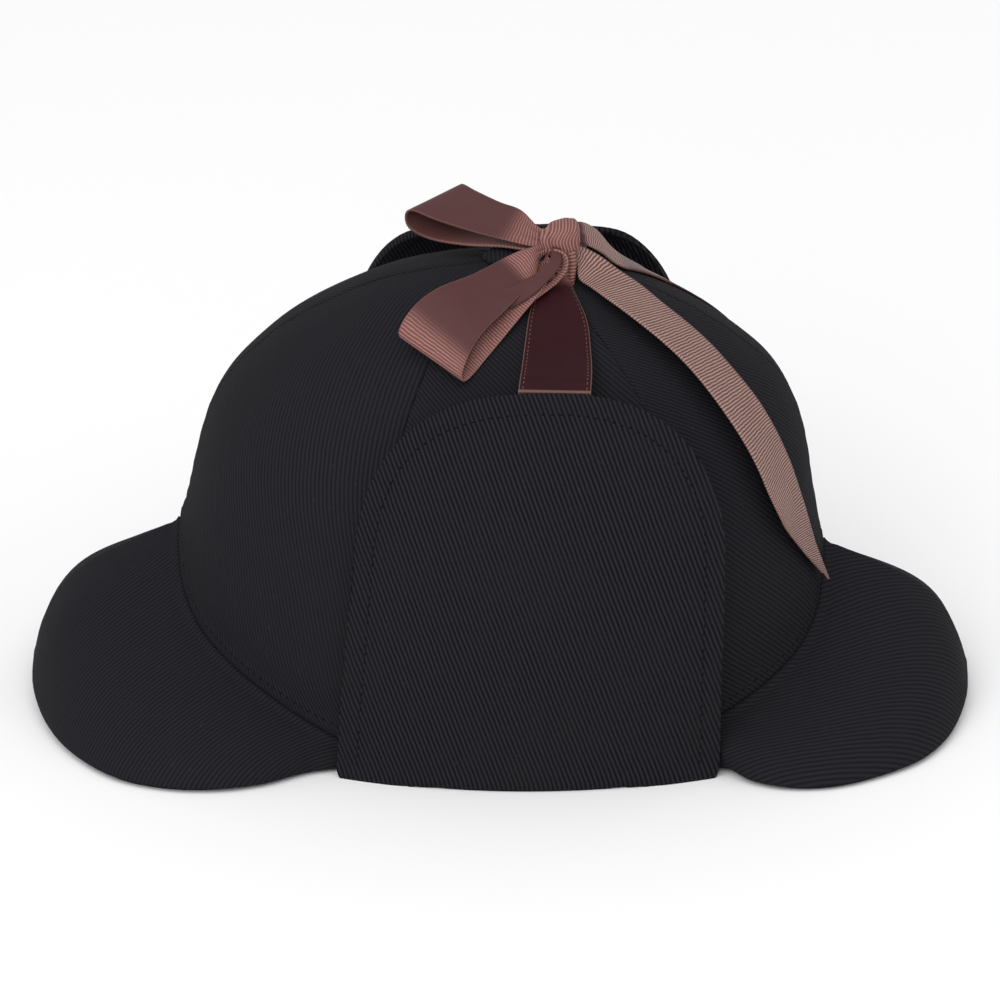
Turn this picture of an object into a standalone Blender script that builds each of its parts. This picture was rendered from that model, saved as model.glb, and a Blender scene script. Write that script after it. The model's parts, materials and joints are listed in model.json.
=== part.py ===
"""Deerstalker hat at rest on a table: six crown gores, two peaks, two ear flaps folded up
and tied over the crown with a ribbon bow.

Metres, +Z up. The front of the hat points along -X and the wearer's left side along -Y.
The origin is on the table, under the middle of the hat. Tables are in millimetres.
"""
import math
from collections import namedtuple

import bmesh
import bpy
from mathutils import Vector
from mathutils.bvhtree import BVHTree

MM = 0.001
GAP = 0.0003                # clear space between pieces that touch

# Crown
CROWN_SQUARENESS = 2.1      # 2 is an ellipse seen from above, and more is fuller at the corners
GORE_WALL = 0.0020          # twill with its lining
APEX_LEAN = 0.0015          # how far the top of the crown sits behind the middle
TIP_SHARE = 0.17            # where the gores end under the button, in rows of the table
SEAMS_DEG = (0.0, 67.0, 126.0, 180.0, 234.0, 293.0)   # from the front, round the left side
GORE_NAMES = ("gore_front_left", "gore_side_left", "gore_back_left",
              "gore_back_right", "gore_side_right", "gore_front_right")

GORE_COLUMNS = 9
GORE_ROWS = 13
GORE_EDGE_STEPS = 0.6       # how much closer the columns of a gore stand at its seams
SURFACE_COLUMNS = 96        # of the smooth crown that the ribbons are laid on
SURFACE_ROWS = 48

# Button
BUTTON_RADIUS = 0.0068
BUTTON_HEIGHT = 0.0034
BALL_SEGMENTS = 16          # of the button and the knot
BALL_RINGS = 10

# Peaks
PEAK_WALL = 0.0030
PEAK_SEAM_DROP = 0.0007     # from the lower edge of the gores to the top of the peak
FRONT_PEAK_TURN = 0.0       # how far the tip of each is pushed towards the wearer's left
BACK_PEAK_TURN = 0.0045
PEAK_COLUMNS = 32
PEAK_ROWS = 7
SWELL_SHARE = 1.9           # of a table's swell, at its fullest place
SWELL_OUTWARD = 0.3         # how much of it goes outwards for each part that goes up

# Ear flaps
FLAP_WALL = 0.0026
FLAP_HALF_WIDTH = 0.0590
FLAP_MIDDLE = 0.0085        # how far the flaps sit behind the middle of the hat
FLAP_LEFT_LEAN = 0.0058     # how far the tip of each leans further back
FLAP_RIGHT_LEAN = -0.0035
FLAP_LEFT_TAPER = 0.0048    # how much narrower half of each is near its tip
FLAP_RIGHT_TAPER = 0.0065
FLAP_ARCH = 0.0570          # length of the rounded top
FLAP_FRONT_ROUND = 2.5      # exponents of the rounded top: its shoulder towards the front,
FLAP_LEFT_BACK_ROUND = 2.25  # and the one towards the back of each flap
FLAP_RIGHT_BACK_ROUND = 2.4
FLAP_SAG = 0.0108           # how far its side edges bend back round the crown
FLAP_HEM = 0.0070           # turned under the crown's lower edge
FLAP_FOLD_RADIUS = 0.0020
HEM_SPAN = (0.45, 0.64)     # share of half the flap where the turned hem narrows to nothing
FLAP_COLUMNS = 16
FLAP_ROWS = 17
HEM_ROWS = 6                # of those rows, how many lie in the hem and its fold

# Ribbon
RIBBON_WALL = 0.0010
RIBBON_CLEARANCE = 0.0010   # from the crown to the middle of the ribbon
RIBBON_COLUMNS = 4
TIE_STEPS = 18
LOOP_STEPS = 32
TAIL_STEPS = 28
KNOT_CENTRE = Vector((0.0185, -0.0055, 0.1527))
KNOT_RADII = Vector((0.0068, 0.0066, 0.0060))

CrownRow = namedtuple("CrownRow", "front_out front_up back_out back_up side_out side_up")
CROWN_ROWS = (
    CrownRow(0.0, 144.5, 0.0, 144.5, 0.0, 144.5),
    CrownRow(17.0, 142.3, 17.0, 142.6, 15.0, 142.4),
    CrownRow(37.0, 138.6, 37.0, 138.6, 30.5, 137.2),
    CrownRow(53.0, 131.6, 53.5, 132.0, 44.0, 128.8),
    CrownRow(66.5, 124.0, 67.5, 124.0, 55.5, 117.5),
    CrownRow(77.5, 114.9, 79.5, 115.2, 64.0, 105.0),
    CrownRow(85.5, 106.3, 87.8, 107.0, 70.0, 92.0),
    CrownRow(91.5, 96.0, 93.8, 96.0, 73.8, 79.0),
    CrownRow(95.5, 83.5, 97.2, 84.0, 75.8, 64.5),
    CrownRow(98.7, 69.5, 99.4, 70.0, 76.7, 48.0),
    CrownRow(101.6, 57.0, 102.0, 55.5, 76.8, 31.0),
    CrownRow(103.5, 41.0, 103.3, 40.0, 76.5, 15.0),
    CrownRow(104.2, 0.0, 104.0, 0.0, 76.0, 0.0),
)

# Height of the crown's lower edge, by the angle from the front or the back
EdgeRow = namedtuple("EdgeRow", "degrees front_up back_up")
EDGE_ROWS = (
    EdgeRow(0.0, 57.2, 49.8),
    EdgeRow(7.5, 51.8, 43.8),
    EdgeRow(15.0, 42.5, 34.5),
    EdgeRow(25.0, 34.0, 27.0),
    EdgeRow(35.0, 28.0, 22.0),
    EdgeRow(45.0, 22.0, 17.0),
    EdgeRow(55.0, 15.5, 12.0),
    EdgeRow(63.0, 10.5, 8.5),
    EdgeRow(70.0, 5.0, 4.8),
    EdgeRow(77.0, 3.3, 3.3),
    EdgeRow(90.0, 3.3, 3.3),
)

# Half of a peak's outer edge from the middle to where it meets the crown: the seam's angle
# that each point belongs to, the point itself, and how far the peak swells between the two
PeakRow = namedtuple("PeakRow", "seam_degrees out side up swell")
FRONT_PEAK_ROWS = (
    PeakRow(0.0, 151.25, 0.0, 6.4, 12.5),
    PeakRow(9.0, 149.8, 20.0, 5.2, 12.0),
    PeakRow(18.0, 144.0, 41.0, 3.0, 10.0),
    PeakRow(27.0, 134.5, 59.5, 1.8, 8.0),
    PeakRow(35.0, 120.5, 75.5, 1.5, 6.0),
    PeakRow(43.0, 104.5, 83.0, 1.5, 5.0),
    PeakRow(50.0, 88.0, 84.4, 1.5, 4.0),
    PeakRow(56.0, 73.0, 80.5, 1.4, 2.5),
    PeakRow(61.0, 60.0, 72.4, 1.2, 1.0),
    PeakRow(65.0, 49.0, 69.0, 1.0, 0.3),
)
BACK_PEAK_ROWS = (
    PeakRow(0.0, 151.25, 0.0, 5.0, 12.0),
    PeakRow(9.0, 149.3, 20.0, 3.8, 11.5),
    PeakRow(18.0, 142.5, 42.5, 2.0, 9.5),
    PeakRow(27.0, 132.0, 60.0, 1.5, 7.5),
    PeakRow(35.0, 117.5, 72.0, 1.5, 5.5),
    PeakRow(43.0, 103.0, 79.5, 1.5, 4.5),
    PeakRow(50.0, 88.5, 81.0, 1.5, 3.5),
    PeakRow(54.5, 77.0, 77.0, 1.5, 2.0),
    PeakRow(58.0, 70.6, 69.8, 1.4, 1.2),
    PeakRow(61.5, 62.0, 68.8, 1.2, 0.8),
    PeakRow(65.0, 48.5, 69.3, 1.0, 0.3),
)

# The middle of a folded flap, by the length of cloth up from its bottom fold
FlapRow = namedtuple("FlapRow", "along out up")
FLAP_LEFT_ROWS = (
    FlapRow(0.0, 82.2, 0.0),
    FlapRow(44.0, 82.4, 44.0),
    FlapRow(79.0, 79.8, 79.0),
    FlapRow(104.0, 74.4, 103.4),
    FlapRow(117.0, 70.0, 115.6),
    FlapRow(128.0, 64.0, 124.4),
)
FLAP_RIGHT_ROWS = (
    FlapRow(0.0, 81.6, 0.0),
    FlapRow(44.0, 82.8, 44.0),
    FlapRow(79.0, 82.0, 79.0),
    FlapRow(105.0, 79.4, 104.8),
    FlapRow(119.0, 76.2, 118.4),
    FlapRow(129.5, 71.4, 127.6),
    FlapRow(136.0, 66.4, 131.2),
    FlapRow(141.0, 61.6, 132.0),
)

# Both edges of a ribbon, one row for each place along it
RibbonRow = namedtuple("RibbonRow", "far_x far_y far_z near_x near_y near_z")
LOOP_HIGH_ROWS = (
    RibbonRow(11.6, 1.0, 155.0, 10.8, -7.0, 151.5),
    RibbonRow(6.5, 8.0, 157.8, 1.5, -4.5, 152.6),
    RibbonRow(0.0, 14.0, 158.3, -8.5, 1.5, 153.2),
    RibbonRow(-7.5, 21.5, 159.4, -20.0, 9.0, 154.4),
    RibbonRow(-11.8, 27.0, 159.8, -27.5, 14.5, 155.6),
    RibbonRow(-13.0, 28.5, 157.6, -29.8, 16.5, 153.2),
    RibbonRow(-11.5, 27.5, 154.2, -28.5, 16.0, 149.0),
    RibbonRow(-6.0, 23.0, 151.4, -21.5, 11.0, 147.2),
    RibbonRow(2.0, 15.5, 150.6, -10.5, 3.0, 148.2),
    RibbonRow(7.5, 8.5, 150.8, 0.5, -3.0, 149.8),
    RibbonRow(11.8, 0.5, 151.4, 10.8, -7.0, 149.8),
)
LOOP_LOW_ROWS = (
    RibbonRow(11.6, -9.2, 152.0, 12.2, -13.0, 149.4),
    RibbonRow(4.0, -14.5, 151.4, 10.4, -21.8, 146.0),
    RibbonRow(-8.0, -25.5, 149.0, 3.0, -34.0, 141.8),
    RibbonRow(-19.5, -34.5, 147.4, -5.0, -43.5, 137.0),
    RibbonRow(-27.0, -39.0, 142.6, -9.6, -50.0, 131.6),
    RibbonRow(-30.8, -41.0, 135.6, -11.6, -53.5, 126.2),
    RibbonRow(-26.5, -38.0, 133.0, -9.6, -51.0, 124.4),
    RibbonRow(-15.5, -30.0, 137.4, -2.5, -43.5, 130.4),
    RibbonRow(-4.0, -21.5, 142.6, 6.2, -34.5, 138.4),
    RibbonRow(7.0, -13.0, 146.4, 13.8, -23.5, 144.2),
    RibbonRow(13.0, -9.8, 147.6, 15.0, -15.0, 145.6),
)
TIE_LEFT_ROWS = (
    RibbonRow(14.0, -7.5, 145.3, 19.5, -7.5, 145.3),
    RibbonRow(12.6, -13.0, 143.8, 21.0, -13.0, 143.8),
    RibbonRow(10.8, -22.0, 141.2, 23.4, -22.0, 141.0),
    RibbonRow(8.8, -32.0, 137.3, 26.8, -32.0, 135.8),
    RibbonRow(7.4, -43.0, 131.4, 27.8, -43.0, 130.0),
    RibbonRow(6.6, -52.0, 128.4, 28.0, -52.0, 128.0),
    RibbonRow(6.0, -58.0, 126.9, 27.8, -58.0, 126.5),
    RibbonRow(5.5, -61.0, 124.0, 27.5, -61.0, 123.6),
    RibbonRow(5.4, -62.6, 119.0, 27.4, -62.6, 119.0),
    RibbonRow(5.3, -64.0, 112.0, 27.3, -64.0, 112.0),
)
TIE_RIGHT_ROWS = (
    RibbonRow(14.0, 7.5, 145.3, 19.5, 7.5, 145.3),
    RibbonRow(12.6, 13.0, 143.8, 21.0, 13.0, 143.8),
    RibbonRow(10.8, 22.0, 141.2, 23.4, 22.0, 141.0),
    RibbonRow(8.8, 32.0, 137.3, 26.8, 32.0, 135.8),
    RibbonRow(7.4, 43.0, 131.9, 27.8, 43.0, 131.0),
    RibbonRow(6.6, 50.0, 130.2, 28.0, 50.0, 129.9),
    RibbonRow(6.0, 56.0, 130.0, 27.8, 55.6, 129.6),
    RibbonRow(5.5, 61.2, 129.7, 27.5, 60.2, 129.2),
    RibbonRow(5.4, 65.4, 127.8, 27.4, 64.4, 127.7),
    RibbonRow(5.3, 69.2, 126.0, 27.3, 68.2, 125.0),
)
TAIL_LEFT_ROWS = (
    RibbonRow(25.6, -3.5, 150.0, 23.8, -9.5, 146.6),
    RibbonRow(31.2, -3.5, 146.8, 24.5, -14.5, 143.6),
    RibbonRow(37.4, -3.5, 141.9, 28.0, -18.0, 142.2),
    RibbonRow(43.8, -5.5, 138.0, 32.0, -22.8, 140.9),
    RibbonRow(51.4, -11.5, 133.4, 39.8, -29.8, 137.4),
    RibbonRow(59.1, -16.0, 128.4, 48.8, -35.4, 131.8),
    RibbonRow(65.3, -19.4, 123.6, 55.6, -39.4, 126.6),
    RibbonRow(71.4, -23.3, 117.6, 61.8, -43.2, 120.6),
    RibbonRow(77.6, -26.6, 110.6, 68.6, -47.0, 112.4),
    RibbonRow(82.5, -28.6, 103.0, 74.6, -49.4, 103.6),
    RibbonRow(86.0, -29.2, 96.6, 79.1, -50.2, 95.2),
    RibbonRow(88.9, -28.8, 89.4, 82.8, -49.8, 86.2),
    RibbonRow(92.4, -26.6, 78.6, 86.6, -47.2, 77.2),
    RibbonRow(95.9, -23.0, 67.2, 89.2, -43.0, 70.8),
    RibbonRow(100.3, -20.4, 54.6, 96.0, -32.4, 58.0),
    RibbonRow(104.3, -19.4, 43.8, 103.0, -21.0, 45.6),
)
TAIL_RIGHT_ROWS = (
    RibbonRow(24.4, 2.9, 155.9, 26.0, -3.0, 150.8),
    RibbonRow(29.9, 13.6, 149.7, 31.5, 0.0, 147.0),
    RibbonRow(35.6, 23.4, 139.7, 36.5, 4.5, 141.5),
    RibbonRow(41.8, 31.5, 132.5, 43.0, 10.0, 136.8),
    RibbonRow(50.5, 37.0, 126.6, 52.2, 15.9, 132.4),
    RibbonRow(60.4, 41.7, 120.1, 62.7, 20.4, 125.2),
    RibbonRow(62.9, 44.6, 109.7, 71.9, 25.7, 116.7),
    RibbonRow(68.0, 48.7, 99.6, 79.3, 31.2, 106.7),
    RibbonRow(73.4, 50.3, 87.4, 85.8, 33.4, 93.9),
    RibbonRow(77.1, 49.9, 76.9, 89.3, 33.0, 84.1),
    RibbonRow(84.7, 44.0, 66.0, 92.1, 31.7, 72.6),
    RibbonRow(92.4, 34.3, 62.7, 92.6, 33.0, 64.3),
)

Finish = namedtuple("Finish", "colour roughness metallic")
TWILL = Finish((0.012, 0.012, 0.015), 0.9, 0.0)
RIBBON = Finish((0.155, 0.068, 0.062), 0.55, 0.0)


def clear_scene():
    for thing in list(bpy.data.objects):
        bpy.data.objects.remove(thing, do_unlink=True)


def make_material(name, finish):
    material = bpy.data.materials.new(name)
    material.use_nodes = True
    shader = material.node_tree.nodes["Principled BSDF"]
    shader.inputs["Base Color"].default_value = (*finish.colour, 1.0)
    shader.inputs["Roughness"].default_value = finish.roughness
    shader.inputs["Metallic"].default_value = finish.metallic
    return material


def add_object(name, mesh, finish):
    mesh.materials.append(make_material(name, finish))
    mesh.shade_smooth()
    piece = bpy.data.objects.new(name, mesh)
    bpy.data.collections["deerstalker_hat"].objects.link(piece)
    return piece


def read_rows(rows, place):
    """A smooth curve through a table: the row at a place counted from the first row."""
    last = len(rows) - 1
    start = min(int(place), last - 1)
    t = place - start
    a, b = rows[start], rows[start + 1]
    before = rows[max(start - 1, 0)]
    after = rows[min(start + 2, last)]
    values = []
    for p, q, r, s in zip(before, a, b, after):
        slope_in, slope_out = (r - p) / 2, (s - q) / 2
        values.append(q * (2 * t ** 3 - 3 * t ** 2 + 1) + slope_in * (t ** 3 - 2 * t ** 2 + t)
                      + r * (3 * t ** 2 - 2 * t ** 3) + slope_out * (t ** 3 - t ** 2))
    return type(a)(*values)


def read_column(rows, key, value):
    """The smooth row of a table where its rising first column has this value."""
    low, high = 0.0, len(rows) - 1.0
    for _ in range(30):
        middle = (low + high) / 2
        if getattr(read_rows(rows, middle), key) < value:
            low = middle
        else:
            high = middle
    return read_rows(rows, low)


# ---------------------------------------------------------------- crown

def crown_point(degrees, place):
    """Point on the outside of the crown: the angle from the front, and rows down from the top."""
    row = read_rows(CROWN_ROWS, place)
    along = -math.cos(math.radians(degrees))
    across = -math.sin(math.radians(degrees))
    reach = (abs(along) ** CROWN_SQUARENESS + abs(across) ** CROWN_SQUARENESS) ** (-1 / CROWN_SQUARENESS)
    out, up = (row.front_out, row.front_up) if along < 0 else (row.back_out, row.back_up)
    lean = APEX_LEAN * max(0.0, 1.0 - place / 5.0)
    return Vector((out * MM * along * reach + lean, row.side_out * MM * across * reach,
                   (up * along ** 2 + row.side_up * across ** 2) * MM))


def edge_height(degrees):
    """Height of the crown's lower edge at an angle from the front."""
    angle = degrees % 360.0
    angle = min(angle, 360.0 - angle)
    to_front = angle < 90.0
    row = read_column(EDGE_ROWS, "degrees", angle if to_front else 180.0 - angle)
    return (row.front_up if to_front else row.back_up) * MM


def edge_place(degrees, height):
    """Rows down from the top at which the crown has this height."""
    low, high = 4.0, len(CROWN_ROWS) - 1.0
    for _ in range(30):
        middle = (low + high) / 2
        if crown_point(degrees, middle).z > height:
            low = middle
        else:
            high = middle
    return low


def ease(share, amount):
    """Share of a span with the steps drawn closer together at its two ends."""
    return share - amount * math.sin(2 * math.pi * share) / (2 * math.pi)


def add_cloth(name, columns, rows, place, thickness, finish, offset=-1.0):
    """A sheet laid out on a grid by place(across, along), with its wall below or about it."""
    grid = bmesh.new()
    bmesh.ops.create_grid(grid, x_segments=columns, y_segments=rows, size=1.0)
    for vertex in grid.verts:
        vertex.co = place((vertex.co.x + 1) / 2, (vertex.co.y + 1) / 2)
    mesh = bpy.data.meshes.new(name)
    grid.to_mesh(mesh)
    grid.free()
    piece = add_object(name, mesh, finish)
    wall = piece.modifiers.new("wall", "SOLIDIFY")
    wall.thickness = thickness
    wall.offset = offset
    return piece


def add_gores():
    for index, name in enumerate(GORE_NAMES):
        start = SEAMS_DEG[index]
        end = SEAMS_DEG[(index + 1) % len(SEAMS_DEG)] or 360.0

        def place(across, along, start=start, end=end):
            share = ease(across, GORE_EDGE_STEPS)
            degrees = start + (end - start) * share
            lowest = edge_place(degrees, edge_height(degrees))
            down = TIP_SHARE + (lowest - TIP_SHARE) * (1 - along)
            reach = crown_point(degrees, down).xy.length
            room = math.degrees(GAP / 2 / reach)
            inset = room * (1 - 2 * share)
            return crown_point(degrees + inset, down)

        add_cloth(name, GORE_COLUMNS, GORE_ROWS, place, GORE_WALL, TWILL)


def crown_surface():
    """The whole outside of the crown as one tree, for ribbons to lie on."""
    grid = bmesh.new()
    bmesh.ops.create_grid(grid, x_segments=SURFACE_COLUMNS, y_segments=SURFACE_ROWS, size=1.0)
    for vertex in grid.verts:
        down = 0.02 + (len(CROWN_ROWS) - 1.02) * (1 - vertex.co.y) / 2
        vertex.co = crown_point(180.0 + 180.0 * vertex.co.x, down)
    grid.normal_update()
    tree = BVHTree.FromBMesh(grid)
    grid.free()
    return tree


def add_button():
    mesh = bpy.data.meshes.new("crown_button")
    ball = bmesh.new()
    bmesh.ops.create_uvsphere(ball, u_segments=BALL_SEGMENTS, v_segments=BALL_RINGS, radius=1.0)
    seat = CROWN_ROWS[0].front_up * MM + GAP
    for vertex in ball.verts:
        up = max(vertex.co.z, 0.0) * BUTTON_HEIGHT + min(vertex.co.z, 0.0) * GAP
        vertex.co = (APEX_LEAN + vertex.co.x * BUTTON_RADIUS, vertex.co.y * BUTTON_RADIUS, seat + GAP + up)
    ball.to_mesh(mesh)
    ball.free()
    add_object("crown_button", mesh, TWILL)


# ---------------------------------------------------------------- peaks

def peak_point(rows, facing, turn, across, along):
    """Point on top of a peak: across from end to end, along from the crown to the outer edge."""
    signed = 2 * across - 1
    row = read_rows(rows, abs(signed) * (len(rows) - 1))
    side = math.copysign(1.0, signed)
    from_front = row.seam_degrees * side if facing < 0 else 180.0 - row.seam_degrees * side
    height = edge_height(from_front) - PEAK_SEAM_DROP
    inner = crown_point(from_front, edge_place(from_front, height))
    outer = Vector((facing * row.out * MM, -side * row.side * MM, row.up * MM))
    outer.y -= turn * (1 - signed ** 2) ** 2
    swell = row.swell * MM * SWELL_SHARE * along * (1 - along ** 4)
    outward = Vector((outer.x - inner.x, outer.y - inner.y, 0.0)).normalized()
    return inner.lerp(outer, along) + (outward * SWELL_OUTWARD + Vector((0, 0, 1))) * swell


def flatten_on_table(piece):
    """Press what would dip below the table flat onto it."""
    graph = bpy.context.evaluated_depsgraph_get()
    mesh = bpy.data.meshes.new_from_object(piece.evaluated_get(graph))
    for vertex in mesh.vertices:
        vertex.co.z = max(vertex.co.z, 0.0)
    piece.modifiers.clear()
    piece.data = mesh


def add_peaks():
    for name, rows, facing, turn in (("front_peak", FRONT_PEAK_ROWS, -1, FRONT_PEAK_TURN),
                                     ("back_peak", BACK_PEAK_ROWS, 1, BACK_PEAK_TURN)):
        def place(across, along, rows=rows, facing=facing, turn=turn):
            return peak_point(rows, facing, turn, across, 1 - along if facing < 0 else along)
        flatten_on_table(add_cloth(name, PEAK_COLUMNS, PEAK_ROWS, place, PEAK_WALL, TWILL))


# ---------------------------------------------------------------- ear flaps

def flap_point(rows, facing, lean, taper, back_round, across, along):
    """Middle of a folded flap: across its width, along from the turned hem up to its top."""
    signed = math.sin(math.pi / 2 * (2 * across - 1))
    fullness = back_round if signed > 0 else FLAP_FRONT_ROUND
    rise = (1 - abs(signed) ** fullness) ** (1 / fullness)
    length = rows[-1].along * MM - FLAP_ARCH * (1 - rise)
    fade = min(max((abs(signed) - HEM_SPAN[0]) / (HEM_SPAN[1] - HEM_SPAN[0]), 0.0), 1.0)
    turned = 1 - fade * fade * (3 - 2 * fade)
    hem, radius = FLAP_HEM * turned, FLAP_FOLD_RADIUS * turned
    fold = radius * math.pi / 2
    base = FLAP_WALL / 2 * turned
    total = hem + fold + length - base - radius
    hem_and_fold = FLAP_HEM + FLAP_FOLD_RADIUS * math.pi / 2
    share = HEM_ROWS / FLAP_ROWS
    if along < share:
        travelled = along / share * hem_and_fold
    else:
        travelled = hem_and_fold + (along - share) / (1 - share) * (total - hem_and_fold)
    inward = up = 0.0
    if travelled < hem:
        inward, up = radius + hem - travelled, base
    elif travelled < hem + fold:
        turn = (travelled - hem) / radius
        inward = radius * (1 - math.sin(turn))
        up = base + radius * (1 - math.cos(turn))
    else:
        up = base + radius + travelled - hem - fold
    row = read_column(rows, "along", up / MM)
    raised = min(up / (rows[-1].along * MM), 1.0)
    x = FLAP_MIDDLE + lean * raised + signed * (FLAP_HALF_WIDTH - taper * raised)
    out = row.out * MM - FLAP_SAG * ((x - FLAP_MIDDLE) / FLAP_HALF_WIDTH) ** 2
    return Vector((x, facing * (out - inward), row.up * MM))


def add_flaps():
    for name, facing, shape in (
            ("ear_flap_left", -1,
             (FLAP_LEFT_ROWS, -1, FLAP_LEFT_LEAN, FLAP_LEFT_TAPER, FLAP_LEFT_BACK_ROUND)),
            ("ear_flap_right", 1,
             (FLAP_RIGHT_ROWS, 1, FLAP_RIGHT_LEAN, FLAP_RIGHT_TAPER, FLAP_RIGHT_BACK_ROUND))):
        def place(across, along, facing=facing, shape=shape):
            return flap_point(*shape, across if facing < 0 else 1 - across, along)
        flatten_on_table(add_cloth(name, FLAP_COLUMNS, FLAP_ROWS, place, FLAP_WALL, TWILL, offset=0.0))


# ---------------------------------------------------------------- ribbon

def add_ribbon(name, rows, steps, tree):
    """A ribbon through its rows, kept off the crown."""
    def place(across, along):
        row = read_rows(rows, along * (len(rows) - 1))
        far = Vector((row.far_x, row.far_y, row.far_z)) * MM
        near = Vector((row.near_x, row.near_y, row.near_z)) * MM
        point = far.lerp(near, across)
        nearest, normal, _, _ = tree.find_nearest(point)
        height = (point - nearest).dot(normal)
        if height < RIBBON_CLEARANCE:
            point += normal * (RIBBON_CLEARANCE - height)
        return point

    return add_cloth(name, RIBBON_COLUMNS, steps, place, RIBBON_WALL, RIBBON, offset=0.0)


def add_knot():
    mesh = bpy.data.meshes.new("bow_knot")
    ball = bmesh.new()
    bmesh.ops.create_uvsphere(ball, u_segments=BALL_SEGMENTS, v_segments=BALL_RINGS, radius=1.0)
    for vertex in ball.verts:
        vertex.co = KNOT_CENTRE + Vector(a * b for a, b in zip(vertex.co, KNOT_RADII))
    ball.to_mesh(mesh)
    ball.free()
    add_object("bow_knot", mesh, RIBBON)


def add_bow():
    tree = crown_surface()
    add_knot()
    add_ribbon("tie_left", TIE_LEFT_ROWS, TIE_STEPS, tree)
    add_ribbon("tie_right", TIE_RIGHT_ROWS, TIE_STEPS, tree)
    add_ribbon("bow_loop_high", LOOP_HIGH_ROWS, LOOP_STEPS, tree)
    add_ribbon("bow_loop_low", LOOP_LOW_ROWS, LOOP_STEPS, tree)
    add_ribbon("bow_tail_left", TAIL_LEFT_ROWS, TAIL_STEPS, tree)
    add_ribbon("bow_tail_right", TAIL_RIGHT_ROWS, TAIL_STEPS, tree)


def main():
    clear_scene()
    collection = bpy.data.collections.new("deerstalker_hat")
    bpy.context.scene.collection.children.link(collection)
    add_gores()
    add_button()
    add_peaks()
    add_flaps()
    add_bow()


main()
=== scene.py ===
"""The looks of a deerstalker hat: twill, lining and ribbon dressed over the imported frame.

Metres, +Z up. The front of the hat points along -X and the wearer's left side along -Y.
Tables are in millimetres, as in the source of the frame.
"""

import json
import math
from collections import namedtuple

import bpy
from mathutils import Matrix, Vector, noise
from mathutils.bvhtree import BVHTree
from mathutils.kdtree import KDTree

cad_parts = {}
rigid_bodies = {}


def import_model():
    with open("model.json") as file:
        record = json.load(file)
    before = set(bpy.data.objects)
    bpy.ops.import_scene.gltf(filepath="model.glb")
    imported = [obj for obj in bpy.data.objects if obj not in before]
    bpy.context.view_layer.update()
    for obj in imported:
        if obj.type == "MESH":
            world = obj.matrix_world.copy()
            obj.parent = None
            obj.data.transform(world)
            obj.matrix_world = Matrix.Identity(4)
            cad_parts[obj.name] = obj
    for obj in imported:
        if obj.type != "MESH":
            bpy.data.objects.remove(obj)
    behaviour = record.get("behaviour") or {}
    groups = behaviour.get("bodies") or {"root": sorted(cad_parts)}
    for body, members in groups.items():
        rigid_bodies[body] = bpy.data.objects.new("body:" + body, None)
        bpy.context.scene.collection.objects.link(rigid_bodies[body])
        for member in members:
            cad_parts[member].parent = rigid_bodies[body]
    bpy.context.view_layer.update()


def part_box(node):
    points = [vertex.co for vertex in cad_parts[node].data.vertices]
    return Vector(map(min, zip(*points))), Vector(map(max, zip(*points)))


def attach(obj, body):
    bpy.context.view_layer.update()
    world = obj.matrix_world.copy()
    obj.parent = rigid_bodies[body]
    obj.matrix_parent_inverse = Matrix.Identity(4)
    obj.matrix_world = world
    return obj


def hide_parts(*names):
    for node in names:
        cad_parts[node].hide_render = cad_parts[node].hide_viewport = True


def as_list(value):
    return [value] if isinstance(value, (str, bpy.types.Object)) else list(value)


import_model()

bl_info = {
    "name": "Deerstalker Hat",
    "version": (1, 0, 0),
    "blender": (4, 5, 0),
    "location": "View3D > Sidebar > Hat",
    "description": "Dresses a deerstalker hat in twill, stitching and a grosgrain bow",
    "category": "Add Mesh",
}

MM = 0.001
BODY = "root"
CLOTH_MAP = "Cloth"
# Point attribute of the ribbons: 1 ribbed, 0 satin, below 0 painted shade
RIBBING_AND_SHADE = "Ribbing"

# ---------------------------------------------------------------- the hat's shape

CROWN_SQUARENESS = 2.1      # 2 is an ellipse seen from above, and more is fuller at the corners
APEX_LEAN = 0.0015          # how far the top of the crown sits behind the middle
LEAN_ROWS = 5.0             # rows of the table over which that fades
TIP_SHARE = 0.17            # where the gores end under the button, in rows of the table
SEAM_GAP = -0.00006         # between two gores, and below 0 they overlap, so no daylight passes
SEAMS_DEG = (0.0, 67.0, 126.0, 180.0, 234.0, 293.0)   # from the front, round the left side
GORE_NAMES = ("gore_front_left", "gore_side_left", "gore_back_left",
              "gore_back_right", "gore_side_right", "gore_front_right")

CrownRow = namedtuple("CrownRow", "front_out front_up back_out back_up side_out side_up")
CROWN_ROWS = (
    CrownRow(0.0, 144.5, 0.0, 144.5, 0.0, 144.5),
    CrownRow(17.0, 142.3, 17.0, 142.6, 15.0, 142.4),
    CrownRow(37.0, 138.6, 37.0, 138.6, 30.5, 137.2),
    CrownRow(53.0, 131.6, 53.5, 132.0, 44.0, 128.8),
    CrownRow(66.5, 124.0, 67.5, 124.0, 55.5, 117.5),
    CrownRow(77.5, 114.9, 79.5, 115.2, 64.0, 105.0),
    CrownRow(85.5, 106.3, 87.8, 107.0, 70.0, 92.0),
    CrownRow(91.5, 96.0, 93.8, 96.0, 73.8, 79.0),
    CrownRow(95.5, 83.5, 97.2, 84.0, 75.8, 64.5),
    CrownRow(98.7, 69.5, 99.4, 70.0, 76.7, 48.0),
    CrownRow(101.6, 57.0, 102.0, 55.5, 76.8, 31.0),
    CrownRow(103.5, 41.0, 103.3, 40.0, 76.5, 15.0),
    CrownRow(104.2, 0.0, 104.0, 0.0, 76.0, 0.0),
)

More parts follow.
